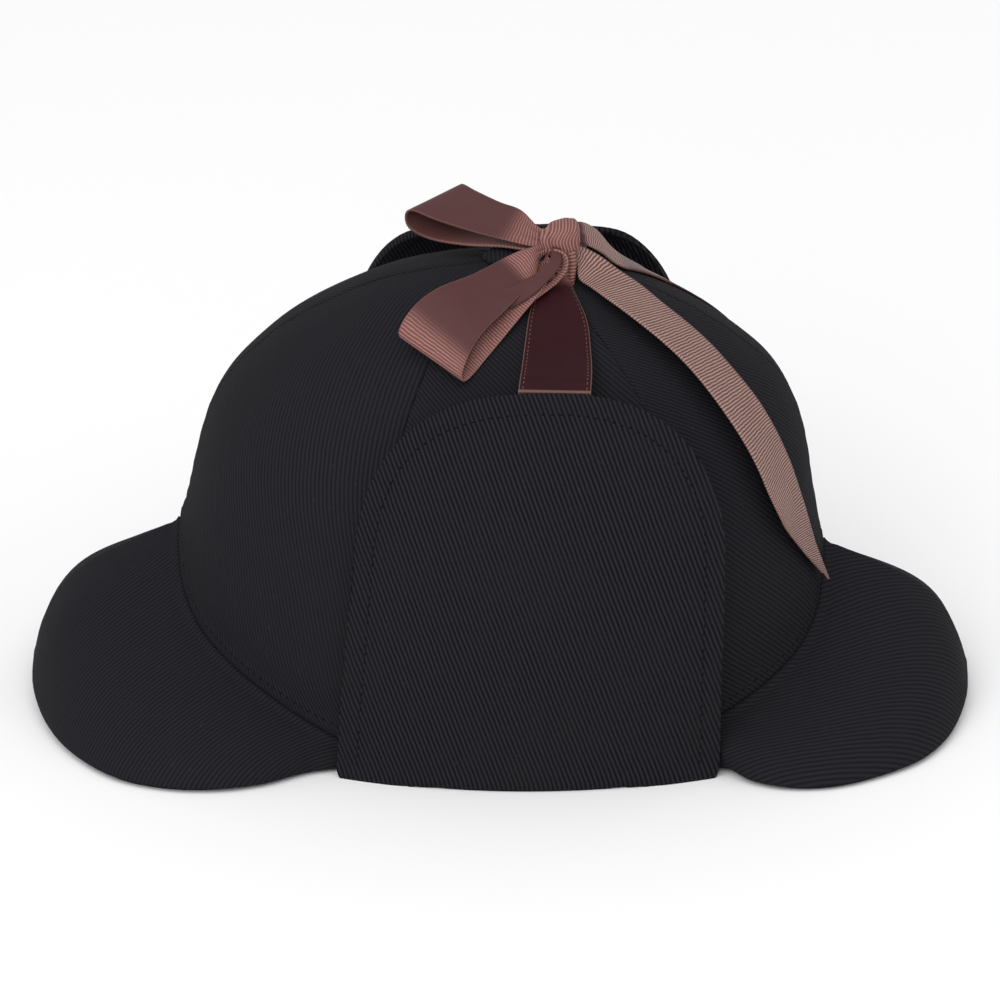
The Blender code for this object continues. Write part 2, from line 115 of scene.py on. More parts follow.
EdgeRow = namedtuple("EdgeRow", "degrees front_up back_up")
EDGE_ROWS = (
    EdgeRow(0.0, 57.2, 49.8),
    EdgeRow(7.5, 51.8, 43.8),
    EdgeRow(15.0, 42.5, 34.5),
    EdgeRow(25.0, 34.0, 27.0),
    EdgeRow(35.0, 28.0, 22.0),
    EdgeRow(45.0, 22.0, 17.0),
    EdgeRow(55.0, 15.5, 12.0),
    EdgeRow(63.0, 10.5, 8.5),
    EdgeRow(70.0, 5.0, 4.8),
    EdgeRow(77.0, 3.3, 3.3),
    EdgeRow(90.0, 3.3, 3.3),
)

PEAK_SEAM_DROP = -0.0003    # from the lower edge of the gores down to the top of the peak
PEAK_TUCK = 0.0012          # how far its inner edge lies inside the crown's outer face
BACK_PEAK_TURN = 0.0045     # how far its tip is pushed towards the wearer's left
SWELL_SHARE = 1.9           # of a table's swell, at its fullest place
SWELL_OUTWARD = 0.3         # how much of it goes outwards for each part that goes up
PeakRow = namedtuple("PeakRow", "seam_degrees out side up swell")
FRONT_PEAK_ROWS = (
    PeakRow(0.0, 151.25, 0.0, 6.4, 12.5),
    PeakRow(9.0, 149.8, 20.0, 5.2, 12.0),
    PeakRow(18.0, 144.0, 41.0, 3.0, 10.0),
    PeakRow(27.0, 134.5, 59.5, 1.8, 8.0),
    PeakRow(35.0, 120.5, 75.5, 1.5, 6.0),
    PeakRow(43.0, 104.5, 83.0, 1.5, 5.0),
    PeakRow(50.0, 88.0, 84.4, 1.5, 4.0),
    PeakRow(56.0, 73.0, 80.5, 1.4, 2.5),
    PeakRow(61.0, 60.0, 72.4, 1.2, 1.0),
    PeakRow(65.0, 49.0, 69.0, 1.0, 0.3),
)
BACK_PEAK_ROWS = (
    PeakRow(0.0, 151.25, 0.0, 5.0, 12.0),
    PeakRow(9.0, 149.3, 20.0, 3.8, 11.5),
    PeakRow(18.0, 142.5, 42.5, 2.0, 9.5),
    PeakRow(27.0, 132.0, 60.0, 1.5, 7.5),
    PeakRow(35.0, 117.5, 72.0, 1.5, 5.5),
    PeakRow(43.0, 103.0, 79.5, 1.5, 4.5),
    PeakRow(50.0, 88.5, 81.0, 1.5, 3.5),
    PeakRow(54.5, 77.0, 77.0, 1.5, 2.0),
    PeakRow(58.0, 70.6, 69.8, 1.4, 1.2),
    PeakRow(61.5, 62.0, 68.8, 1.2, 0.8),
    PeakRow(65.0, 48.5, 69.3, 1.0, 0.3),
)

FLAP_HALF_WIDTH = 0.0590
FLAP_MIDDLE = 0.0085        # how far the flaps sit behind the middle of the hat
FLAP_ARCH = 0.0570          # length of the rounded top
FLAP_FRONT_ROUND = 2.5      # exponent of the rounded top's shoulder towards the front
FLAP_CORNER = 0.0035        # radius of the two lower corners
FLAP_SAG = 0.0108           # how far its side edges bend back round the crown
FLAP_HEM = 0.0070           # turned under the crown's lower edge
FLAP_FOLD_RADIUS = 0.0020
HEM_SPAN = (0.42, 0.80)     # share of half the flap where the turned hem narrows to nothing
FlapRow = namedtuple("FlapRow", "along out up")
FLAP_LEFT_ROWS = (
    FlapRow(0.0, 82.2, 0.0),
    FlapRow(44.0, 82.4, 44.0),
    FlapRow(79.0, 79.8, 79.0),
    FlapRow(104.0, 74.4, 103.4),
    FlapRow(117.0, 70.0, 115.6),
    FlapRow(128.0, 64.0, 124.4),
)
FLAP_RIGHT_ROWS = (
    FlapRow(0.0, 81.6, 0.0),
    FlapRow(44.0, 82.8, 44.0),
    FlapRow(79.0, 82.0, 79.0),
    FlapRow(105.0, 79.4, 104.8),
    FlapRow(119.0, 76.2, 118.4),
    FlapRow(129.5, 71.4, 127.6),
    FlapRow(136.0, 66.4, 131.2),
    FlapRow(141.0, 61.6, 132.0),
)
Flap = namedtuple("Flap", "name rows facing lean taper back_round")
FLAPS = (
    Flap("ear_flap_left", FLAP_LEFT_ROWS, -1, 0.0058, 0.0048, 2.25),
    Flap("ear_flap_right", FLAP_RIGHT_ROWS, 1, -0.0035, 0.0065, 2.4),
)

TIE_CREASE = 0.0580         # length of ribbon from the knot to the crease at a flap's tip
RIBBON_CLEARANCE = 0.0010   # from the crown to the middle of the ribbon
KNOT_CENTRE = (18.5, -5.5, 152.7)
RibbonRow = namedtuple("RibbonRow", "far_x far_y far_z near_x near_y near_z")
LOOP_HIGH_ROWS = (
    RibbonRow(11.6, 1.0, 155.0, 10.8, -7.0, 151.5),
    RibbonRow(6.5, 8.0, 157.8, 1.5, -4.5, 152.6),
    RibbonRow(0.0, 14.0, 158.3, -8.5, 1.5, 153.2),
    RibbonRow(-7.5, 21.5, 159.4, -20.0, 9.0, 154.4),
    RibbonRow(-11.8, 27.0, 159.8, -27.5, 14.5, 155.6),
    RibbonRow(-13.0, 28.5, 157.6, -29.8, 16.5, 153.2),
    RibbonRow(-11.5, 27.5, 154.2, -28.5, 16.0, 149.0),
    RibbonRow(-6.0, 23.0, 151.4, -21.5, 11.0, 147.2),
    RibbonRow(2.0, 15.5, 150.6, -10.5, 3.0, 148.2),
    RibbonRow(7.5, 8.5, 150.8, 0.5, -3.0, 149.8),
    RibbonRow(11.8, 0.5, 151.4, 10.8, -7.0, 149.8),
)
LOOP_LOW_ROWS = (
    RibbonRow(11.6, -9.2, 152.0, 12.2, -13.0, 149.4),
    RibbonRow(4.0, -14.5, 151.4, 10.4, -21.8, 146.0),
    RibbonRow(-8.0, -25.5, 149.0, 3.0, -34.0, 141.8),
    RibbonRow(-19.5, -34.5, 147.4, -5.0, -43.5, 137.0),
    RibbonRow(-27.0, -39.0, 142.6, -9.6, -50.0, 131.6),
    RibbonRow(-30.8, -41.0, 135.6, -11.6, -53.5, 126.2),
    RibbonRow(-26.5, -38.0, 133.0, -9.6, -51.0, 124.4),
    RibbonRow(-15.5, -30.0, 137.4, -2.5, -43.5, 130.4),
    RibbonRow(-4.0, -21.5, 142.6, 6.2, -34.5, 138.4),
    RibbonRow(7.0, -13.0, 146.4, 13.8, -23.5, 144.2),
    RibbonRow(13.0, -9.8, 147.6, 15.0, -15.0, 145.6),
)
TIE_LEFT_ROWS = (
    RibbonRow(14.0, -7.5, 145.3, 19.5, -7.5, 145.3),
    RibbonRow(12.6, -13.0, 143.8, 21.0, -13.0, 143.8),
    RibbonRow(10.8, -22.0, 141.2, 23.4, -22.0, 141.0),
    RibbonRow(8.8, -32.0, 137.3, 26.8, -32.0, 135.8),
    RibbonRow(7.4, -43.0, 131.4, 27.8, -43.0, 130.0),
    RibbonRow(6.6, -52.0, 128.4, 28.0, -52.0, 128.0),
    RibbonRow(6.0, -58.0, 126.9, 27.8, -58.0, 126.5),
    RibbonRow(5.5, -61.0, 124.0, 27.5, -61.0, 123.6),
    RibbonRow(5.4, -62.6, 119.0, 27.4, -62.6, 119.0),
    RibbonRow(5.3, -64.0, 112.0, 27.3, -64.0, 112.0),
)
TIE_RIGHT_ROWS = (
    RibbonRow(14.0, 7.5, 145.3, 19.5, 7.5, 145.3),
    RibbonRow(12.6, 13.0, 143.8, 21.0, 13.0, 143.8),
    RibbonRow(10.8, 22.0, 141.2, 23.4, 22.0, 141.0),
    RibbonRow(8.8, 32.0, 137.3, 26.8, 32.0, 135.8),
    RibbonRow(7.4, 43.0, 131.9, 27.8, 43.0, 131.0),
    RibbonRow(6.6, 50.0, 130.2, 28.0, 50.0, 129.9),
    RibbonRow(6.0, 56.0, 130.0, 27.8, 55.6, 129.6),
    RibbonRow(5.5, 61.2, 129.7, 27.5, 60.2, 129.2),
    RibbonRow(5.4, 65.4, 127.8, 27.4, 64.4, 127.7),
    RibbonRow(5.3, 69.2, 126.0, 27.3, 68.2, 125.0),
)
TAIL_LEFT_ROWS = (
    RibbonRow(25.6, -3.5, 150.0, 23.8, -9.5, 146.6),
    RibbonRow(31.2, -3.5, 146.8, 24.5, -14.5, 143.6),
    RibbonRow(37.4, -3.5, 141.9, 28.0, -18.0, 142.2),
    RibbonRow(43.8, -5.5, 138.0, 32.0, -22.8, 140.9),
    RibbonRow(51.4, -11.5, 133.4, 39.8, -29.8, 137.4),
    RibbonRow(59.1, -16.0, 128.4, 48.8, -35.4, 131.8),
    RibbonRow(65.3, -19.4, 123.6, 55.6, -39.4, 126.6),
    RibbonRow(71.4, -23.3, 117.6, 61.8, -43.2, 120.6),
    RibbonRow(77.6, -26.6, 110.6, 68.6, -47.0, 112.4),
    RibbonRow(82.5, -28.6, 103.0, 74.6, -49.4, 103.6),
    RibbonRow(86.0, -29.2, 96.6, 79.1, -50.2, 95.2),
    RibbonRow(88.9, -28.8, 89.4, 82.8, -49.8, 86.2),
    RibbonRow(92.4, -26.6, 78.6, 86.6, -47.2, 77.2),
    RibbonRow(95.9, -23.0, 67.2, 89.2, -43.0, 70.8),
    RibbonRow(100.3, -20.4, 54.6, 96.0, -32.4, 58.0),
    RibbonRow(104.3, -19.4, 43.8, 103.0, -21.0, 45.6),
)
TAIL_RIGHT_ROWS = (
    RibbonRow(24.4, 2.9, 155.9, 26.0, -3.0, 150.8),
    RibbonRow(29.9, 13.6, 149.7, 31.5, 0.0, 147.0),
    RibbonRow(35.6, 23.4, 139.7, 36.5, 4.5, 141.5),
    RibbonRow(41.8, 31.5, 132.5, 43.0, 10.0, 136.8),
    RibbonRow(50.5, 37.0, 126.6, 52.2, 15.9, 132.4),
    RibbonRow(60.4, 41.7, 120.1, 62.7, 20.4, 125.2),
    RibbonRow(62.9, 44.6, 109.7, 71.9, 25.7, 116.7),
    RibbonRow(68.0, 48.7, 99.6, 79.3, 31.2, 106.7),
    RibbonRow(73.4, 50.3, 87.4, 85.8, 33.4, 93.9),
    RibbonRow(77.1, 49.9, 76.9, 89.3, 33.0, 84.1),
    RibbonRow(84.7, 44.0, 66.0, 92.1, 31.7, 72.6),
    RibbonRow(92.4, 34.3, 62.7, 92.6, 33.0, 64.3),
)


# ---------------------------------------------------------------- shape functions

HALVINGS = 26
EDGE_TOP_ROW = 4.0          # row of the crown's table that its lower edge never rises to


def search(low, high, below):
    """Where a test stops being true between two numbers, found by halving."""
    for _ in range(HALVINGS):
        middle = (low + high) / 2
        if below(middle):
            low = middle
        else:
            high = middle
    return low


def read_rows(rows, place):
    """A smooth curve through a table: the row at a place counted from the first row."""
    last = len(rows) - 1
    start = min(int(place), last - 1)
    t = place - start
    a, b = rows[start], rows[start + 1]
    before = rows[max(start - 1, 0)]
    after = rows[min(start + 2, last)]
    values = []
    for p, q, r, s in zip(before, a, b, after):
        slope_in, slope_out = (r - p) / 2, (s - q) / 2
        values.append(q * (2 * t ** 3 - 3 * t ** 2 + 1) + slope_in * (t ** 3 - 2 * t ** 2 + t)
                      + r * (3 * t ** 2 - 2 * t ** 3) + slope_out * (t ** 3 - t ** 2))
    return type(a)(*values)


def read_column(rows, key, value):
    """The smooth row of a table where its rising first column has this value."""
    return read_rows(rows, search(0.0, len(rows) - 1.0,
                                  lambda place: getattr(read_rows(rows, place), key) < value))


def crown_point(degrees, place):
    """Point on the outside of the crown: the angle from the front, and rows down from the top."""
    row = read_rows(CROWN_ROWS, place)
    along = -math.cos(math.radians(degrees))
    across = -math.sin(math.radians(degrees))
    squared = abs(along) ** CROWN_SQUARENESS + abs(across) ** CROWN_SQUARENESS
    reach = squared ** (-1 / CROWN_SQUARENESS)
    out, up = (row.front_out, row.front_up) if along < 0 else (row.back_out, row.back_up)
    lean = APEX_LEAN * max(0.0, 1.0 - place / LEAN_ROWS)
    return Vector((out * MM * along * reach + lean, row.side_out * MM * across * reach,
                   (up * along ** 2 + row.side_up * across ** 2) * MM))


def edge_height(degrees):
    """Height of the crown's lower edge at an angle from the front."""
    angle = degrees % 360.0
    angle = min(angle, 360.0 - angle)
    to_front = angle < 90.0
    row = read_column(EDGE_ROWS, "degrees", angle if to_front else 180.0 - angle)
    return (row.front_up if to_front else row.back_up) * MM


def edge_place(degrees, height):
    """Rows down from the top at which the crown has this height."""
    return search(EDGE_TOP_ROW, len(CROWN_ROWS) - 1.0,
                  lambda place: crown_point(degrees, place).z > height)


def peak_point(rows, facing, turn, signed, along):
    """Point on top of a peak: signed from end to end, along from the crown to the outer edge."""
    row = read_rows(rows, abs(signed) * (len(rows) - 1))
    side = math.copysign(1.0, signed)
    from_front = row.seam_degrees * side if facing < 0 else 180.0 - row.seam_degrees * side
    height = edge_height(from_front) - PEAK_SEAM_DROP
    inner = crown_point(from_front, edge_place(from_front, height))
    inner.xy *= 1 - PEAK_TUCK / inner.xy.length
    outer = Vector((facing * row.out * MM, -side * row.side * MM, row.up * MM))
    outer.y -= turn * (1 - signed ** 2) ** 2
    swell = row.swell * MM * SWELL_SHARE * along * (1 - along ** 4)
    outward = Vector((outer.x - inner.x, outer.y - inner.y, 0.0)).normalized()
    return inner.lerp(outer, along) + (outward * SWELL_OUTWARD + Vector((0, 0, 1))) * swell


def flap_outline_length(flap, signed):
    """Length of cloth from the bottom of a flap to its rounded top."""
    fullness = flap.back_round if signed > 0 else FLAP_FRONT_ROUND
    rise = (1 - abs(signed) ** fullness) ** (1 / fullness)
    return flap.rows[-1].along * MM - FLAP_ARCH * (1 - rise)


def flap_body_point(flap, signed, up):
    """Middle of a flap's cloth: signed across its width, up by length of cloth."""
    row = read_column(flap.rows, "along", up / MM)
    raised = min(up / (flap.rows[-1].along * MM), 1.0)
    below = max(FLAP_CORNER - up, 0.0)
    corner = FLAP_CORNER - math.sqrt(FLAP_CORNER ** 2 - below ** 2)
    x = FLAP_MIDDLE + flap.lean * raised + signed * (FLAP_HALF_WIDTH - flap.taper * raised - corner)
    out = row.out * MM - FLAP_SAG * ((x - FLAP_MIDDLE) / FLAP_HALF_WIDTH) ** 2
    return Vector((x, flap.facing * out, row.up * MM))


def smooth_step(low, high, value):
    """0 below low, 1 above high, and smooth between."""
    t = min(max((value - low) / (high - low), 0.0), 1.0)
    return t * t * (3 - 2 * t)


def dip(distance, width):
    """A soft groove's depth, from 1 at its middle to nothing."""
    return math.exp(-(distance / width) ** 2)


# A soft ridge, or groove where its rise is negative, at a distance from an edge
Ridge = namedtuple("Ridge", "at rise width")


def ridged(ridges, distance):
    """Height of these ridges and grooves together, at a distance from their edge."""
    return sum(ridge.rise * dip(distance - ridge.at, ridge.width) for ridge in ridges)


# The small ripples of a seam, and how much noise of what grain bends them
Pucker = namedtuple("Pucker", "rise rate wander grain")


def puckered(pucker, spot, point):
    """Height of a seam's ripples at a spot along it."""
    bent = pucker.wander * noise.noise(point * pucker.grain)
    return pucker.rise * math.sin(spot * pucker.rate + bent)


def edge_steps(length, fine, coarse):
    """Shares of a length: fine steps in millimetres at both ends and coarse ones between."""
    near = [step * MM / length for step in fine]
    middle = max(2, round((length - 2 * near[-1] * length) / coarse))
    run = 1 - 2 * near[-1]
    between = [near[-1] + run * step / middle for step in range(1, middle)]
    return near + between + [1 - step for step in reversed(near)]


def start_steps(length, fine, coarse):
    """Shares of a length: fine steps in millimetres at its start and coarse ones after."""
    near = [step * MM / length for step in fine]
    rest = max(2, round((length - near[-1] * length) / coarse))
    return near + [near[-1] + (1 - near[-1]) * step / rest for step in range(1, rest + 1)]


class NearLine:
    """How far a point is from a line of points."""

    def __init__(self, points):
        self.tree = KDTree(len(points))
        for index, point in enumerate(points):
            self.tree.insert(point, index)
        self.tree.balance()

    def distance(self, point):
        """From a point to the nearest point of the line."""
        return self.tree.find(point)[2]


# ---------------------------------------------------------------- shader building

SHEEN_ROUGHNESS = 0.45
LINING_THREAD = 0.0006      # from one thread of the lining to the next
WEAVE_MIDDLE = 0.54         # height of the twill that its contrast leaves alone
GROOVE_TINT = (1.0, 0.78, 0.82)          # between the ribs of the ribbon
SHADED_RIBBON = (0.006, 0.004, 0.005)    # painted shade, where a ribbon lies in shadow
TIE_STITCH_INSET = 0.0013   # from a tie's edge to the stitches along it
TIE_STITCH_PITCH = 0.0017


class Link:
    """One output of a material's nodes. Sums on it add Math nodes."""

    def __init__(self, nodes, socket):
        self.nodes = nodes
        self.socket = socket

    def math(self, operation, *others):
        """A Math node with this value first."""
        return self.nodes.add("ShaderNodeMath", {"operation": operation}, self, *others)

    def math_after(self, operation, first):
        """A Math node with this value second."""
        return self.nodes.add("ShaderNodeMath", {"operation": operation}, first, self)

    def __add__(self, other):
        return self.math("ADD", other)

    def __radd__(self, other):
        return self.math_after("ADD", other)

    def __sub__(self, other):
        return self.math("SUBTRACT", other)

    def __rsub__(self, other):
        return self.math_after("SUBTRACT", other)

    def __mul__(self, other):
        return self.math("MULTIPLY", other)

    def __rmul__(self, other):
        return self.math_after("MULTIPLY", other)

    def __truediv__(self, other):
        return self.math("DIVIDE", other)

    def __rtruediv__(self, other):
        return self.math_after("DIVIDE", other)

    def __pow__(self, other):
        return self.math("POWER", other)

    def wave(self):
        """From 0 to 1 and back for each unit of the value."""
        return (self * math.tau).math("COSINE") * -0.5 + 0.5

    def ramp(self, low, high):
        """0 below low, 1 above high, and smooth between."""
        return self.nodes.add("ShaderNodeMapRange", {"interpolation_type": "SMOOTHSTEP"},
                              self, low, high, 0.0, 1.0)


class Nodes:
    """A material and the one method that adds a node to it."""

    def __init__(self, name, rough, sheen=0.0, sheen_tint=(1, 1, 1), specular=0.5):
        self.material = bpy.data.materials.new(name)
        self.material.use_nodes = True
        self.tree = self.material.node_tree
        self.shader = self.tree.nodes["Principled BSDF"]
        for socket, value in (("Roughness", rough), ("Sheen Weight", sheen),
                              ("Sheen Roughness", SHEEN_ROUGHNESS),
                              ("Sheen Tint", (*sheen_tint, 1.0)),
                              ("Specular IOR Level", specular)):
            self.shader.inputs[socket].default_value = value

    def add(self, kind, settings, *values, output=0, **named):
        """A node of a kind, its settings first, then the values or links of its sockets."""
        node = self.tree.nodes.new(kind)
        for key, value in settings.items():
            setattr(node, key, value)
        for key, value in [*enumerate(values), *named.items()]:
            if value is None:
                continue
            socket = node.inputs[key]
            if isinstance(value, Link):
                self.tree.links.new(value.socket, socket)
            else:
                socket.default_value = value
        return Link(self, node.outputs[output])

    def mix(self, share, first, second):
        """A colour between two, each a link or a tuple."""
        colours = [(*colour, 1.0) if isinstance(colour, tuple) else colour
                   for colour in (first, second)]
        unused = [None] * 5         # the node's sockets that mix numbers and vectors
        return self.add("ShaderNodeMix", {"data_type": "RGBA"}, share, *unused, *colours, output=2)

    def cloth_place(self):
        """Place on the flat cloth in metres, and how far across and along it that is."""
        flat = self.add("ShaderNodeUVMap", {"uv_map": CLOTH_MAP})
        split = self.add("ShaderNodeSeparateXYZ", {}, flat)
        return flat, split, Link(self, split.socket.node.outputs[1])

    def noise(self, place, scale, detail=2.0, stretch=None):
        """Soft patches from 0 to 1, drawn out where a stretch is given."""
        if stretch:
            place = self.add("ShaderNodeVectorMath", {"operation": "MULTIPLY"}, place, stretch)
        return self.add("ShaderNodeTexNoise", {}, place, Scale=scale, Detail=detail)

    def object_place(self):
        """Place in the hat's own space."""
        return self.add("ShaderNodeTexCoord", {}, output=3)

    def paint(self, colour=None, rough=None, height=None, bump=0.5, depth=0.0003):
        """Join the finished values to the shader."""
        if colour is not None:
            self.tree.links.new(colour.socket, self.shader.inputs["Base Color"])
        if rough is not None:
            self.tree.links.new(rough.socket, self.shader.inputs["Roughness"])
        if height is not None:
            normal = self.add("ShaderNodeBump", {}, Strength=bump, Distance=depth, Height=height)
            self.tree.links.new(normal.socket, self.shader.inputs["Normal"])
        return self.material


def twill_material(name, sizes, colours, contrast):
    """Black cotton twill: slanted wales, short yarns across them, faint lint and paler, greener
    patches at random.
    """
    nodes = Nodes(name, 0.9, sheen=0.012, sheen_tint=tuple(colours.bloom), specular=0.06)
    flat, across, along = nodes.cloth_place()
    place = nodes.object_place()
    wobble = nodes.noise(flat, 160.0) - 0.5
    wale = (across / sizes.wale_pitch + wobble * 0.32).wave()
    yarn = (along / sizes.yarn_pitch + across / sizes.wale_pitch * 0.5).wave()
    ridge = wale ** 0.8
    fibre = nodes.noise(flat, 5200.0, 1.0, stretch=(1.0, 0.25, 1.0))
    height = ridge + yarn * 0.22 * ridge + fibre * 0.3
    mottle = nodes.noise(place, 22.0, 3.0)
    patchy = nodes.noise(place, 210.0, 2.0)
    lint = nodes.noise(flat, 900.0, 3.0, stretch=(1.0, 0.35, 1.0)).ramp(0.66, 0.80)
    weave = (ridge * 0.75 + fibre * 0.25 - WEAVE_MIDDLE) * contrast + WEAVE_MIDDLE
    body = nodes.mix(weave, tuple(colours.twill_valley), tuple(colours.twill_ridge))
    uneven = (mottle * 0.6 + patchy * 0.5).ramp(0.40, 0.78) * 0.3
    pale_patched = nodes.mix(uneven, body, tuple(colours.twill_faded))
    dusty = nodes.mix(lint * 0.25, pale_patched, tuple(colours.lint))
    return nodes.paint(dusty, 0.82 + mottle * 0.14, height, bump=0.9,
                       depth=0.00026 * contrast + 0.00004)


def lining_material(colours):
    """Plain black cotton inside the crown."""
    nodes = Nodes("hat_lining", 0.85, specular=0.15)
    _, across, along = nodes.cloth_place()
    weave = (across / LINING_THREAD).wave() * 0.5 + (along / LINING_THREAD).wave() * 0.5
    tone = nodes.noise(nodes.object_place(), 40.0, 3.0)
    body = nodes.mix(weave * 0.5 + tone * 0.5, tuple(colours.twill_valley), tuple(colours.lining))
    return nodes.paint(body, None, weave, bump=0.3, depth=0.0001)


def thread_material(colours):
    """Black sewing thread, a little glossier than the twill."""
    nodes = Nodes("hat_thread", 0.7, specular=0.1)
    tone = nodes.noise(nodes.object_place(), 900.0, 2.0)
    body = nodes.mix(tone, tuple(colours.twill_valley), tuple(colours.thread))
    return nodes.paint(body, None, tone, bump=0.4, depth=0.0001)


def ribbon_material(name, sizes, smooth, ribbed, edge, groove_share, stitched):
    """Grosgrain: ribs across it or smooth satin, a fine pale edge, and stitches along some ribbons.

    The attribute runs from 1 on ribs through 0 on satin to -1, where painted shade darkens the
    ribbon.
    """
    width = sizes.ribbon_width
    nodes = Nodes(name, 0.42, specular=0.05 if stitched else 0.10)
    flat, across, along = nodes.cloth_place()
    look = nodes.add("ShaderNodeAttribute", {"attribute_name": RIBBING_AND_SHADE}, output=2)
    share, shade = look.ramp(0.0, 1.0), (-1.0 * look).ramp(0.0, 1.0)
    wobble = nodes.noise(flat, 300.0, 2.0) - 0.5
    rib = (along / sizes.rib_pitch + wobble * 0.7).wave().ramp(0.12, 0.88)
    from_middle = (across - width / 2).math("ABSOLUTE")
    from_edge = width / 2 - from_middle
    inside = from_edge.ramp(0.00015, 0.00045)
    height = rib * (share * 0.95 + 0.05) * inside + (1 - inside) * 0.4
    tone = nodes.noise(nodes.object_place(), 120.0, 3.0)
    thread = nodes.noise(flat, 2600.0, 1.0, stretch=(1.0, 0.2, 1.0))
    groove = tuple(c * groove_share * tint for c, tint in zip(ribbed, GROOVE_TINT))
    satin = nodes.mix(tone, tuple(c * 0.86 for c in smooth), smooth)
    ribs = nodes.mix(rib * 0.80 + tone * 0.14 + thread * 0.12, groove, ribbed)
    body = nodes.mix(share, satin, ribs)
    body = nodes.mix((1 - inside) * (0.38 if stitched else 0.20), body, edge)
    if stitched:
        row = 1 - (from_edge - TIE_STITCH_INSET).math("ABSOLUTE").ramp(0.00010, 0.00026)
        stitches = row * (along / TIE_STITCH_PITCH).wave().ramp(0.35, 0.6)
        # Painted highlight: a pale line across the tie where it creases over the flap's tip
        crease = 1 - (along - TIE_CREASE).math("ABSOLUTE").ramp(0.00015, 0.0006)
        body = nodes.mix((stitches * 0.32).math("MAXIMUM", crease * 0.5), body, edge)
        height = height + stitches * 0.9
    # Painted shade: where the attribute is below 0, the colour turns towards SHADED_RIBBON
    body = nodes.mix(shade * 0.93, body, SHADED_RIBBON)
    rough = 0.36 + share * 0.18 + tone * 0.06 + shade * 0.3
    return nodes.paint(body, rough, height, bump=0.8, depth=0.00026)


def pale_material(name, colour, rough):
    """Matt paint with hardly any tone in it."""
    nodes = Nodes(name, rough, specular=0.2)
    tone = nodes.noise(nodes.object_place(), 3.0, 2.0)
    return nodes.paint(nodes.mix(tone, tuple(c * 0.995 for c in colour), tuple(colour)))


# ---------------------------------------------------------------- cloth meshes

def clear_selection():
    """Leave edit mode, with nothing selected."""
    if bpy.context.object and bpy.context.object.mode != "OBJECT":
        bpy.ops.object.mode_set(mode="OBJECT")
    bpy.ops.object.select_all(action="DESELECT")


def select_only(piece):
    """Select a piece alone and make it active."""
    clear_selection()
    piece.select_set(True)
    bpy.context.view_layer.objects.active = piece


def apply_modifiers(piece):
    """Apply a piece's modifiers in their order."""
    select_only(piece)
    for modifier in list(piece.modifiers):
        bpy.ops.object.modifier_apply(modifier=modifier.name)


def dressed(node):
    """Name of the piece that stands for a node."""
    return node + "_cloth"


def cloth_grid(node, columns, rows, place, lay, ribbing_and_shade=None):
    """A grid of cloth: place gives each point in space and lay its place on the flat cloth."""
    clear_selection()
    bpy.ops.mesh.primitive_grid_add(x_subdivisions=len(columns) - 1,
                                    y_subdivisions=len(rows) - 1, size=2.0)
    piece = bpy.context.object
    piece.name = dressed(node)
    mesh = piece.data
    mesh.name = piece.name
    flat, ribs = [], []
    for vertex in mesh.vertices:
        column = round((vertex.co.x + 1) / 2 * (len(columns) - 1))
        row = round((vertex.co.y + 1) / 2 * (len(rows) - 1))
        across, along = columns[column], rows[row]
        vertex.co = place(across, along)
        flat.append(lay(across, along, vertex.co))
        ribs.append(ribbing_and_shade(across, along) if ribbing_and_shade else 0.0)
    for layer in list(mesh.uv_layers):
        mesh.uv_layers.remove(layer)
    cloth_map = mesh.uv_layers.new(name=CLOTH_MAP)
    for loop in mesh.loops:
        cloth_map.data[loop.index].uv = flat[loop.vertex_index]
    if ribbing_and_shade:
        mesh.attributes.new(RIBBING_AND_SHADE, "FLOAT", "POINT").data.foreach_set("value", ribs)
    return piece


def give_wall(piece, wall, offset, materials):
    """Give the sheet its thickness. With two materials the second is its inner face."""
    for material in materials:
        piece.data.materials.append(material)
    solid = piece.modifiers.new("wall", "SOLIDIFY")
    solid.thickness = wall
    solid.offset = offset
    solid.use_even_offset = False
    if len(materials) > 1:
        solid.material_offset = 1
    apply_modifiers(piece)


def press(piece, relief):
    """Move each point along its normal by relief(point)."""
    mesh = piece.data
    moves = [vertex.normal * relief(vertex.co) for vertex in mesh.vertices]
    for vertex, move in zip(mesh.vertices, moves):
        vertex.co += move


def finish_piece(piece, node):
    """Smooth shading, the node that the piece stands for hidden, and the piece attached to its
    body.
    """
    select_only(piece)
    bpy.ops.object.shade_smooth()
    clear_selection()
    if node:
        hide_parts(node)
    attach(piece, BODY)


def turned(flat, degrees):
    """A place on the cloth, turned so that the wales run at this slant."""
    angle = math.radians(degrees)
    return (flat[0] * math.cos(angle) + flat[1] * math.sin(angle),
            flat[1] * math.cos(angle) - flat[0] * math.sin(angle))


def undulation(point, amount):
    """Slow unevenness of soft cloth."""
    slow = noise.noise(point * 19.0)
    quick = noise.noise(point * 47.0 + Vector((3.1, 0.0, 7.7)))
    return amount * (slow + 0.4 * quick)


# ---------------------------------------------------------------- what a user would change

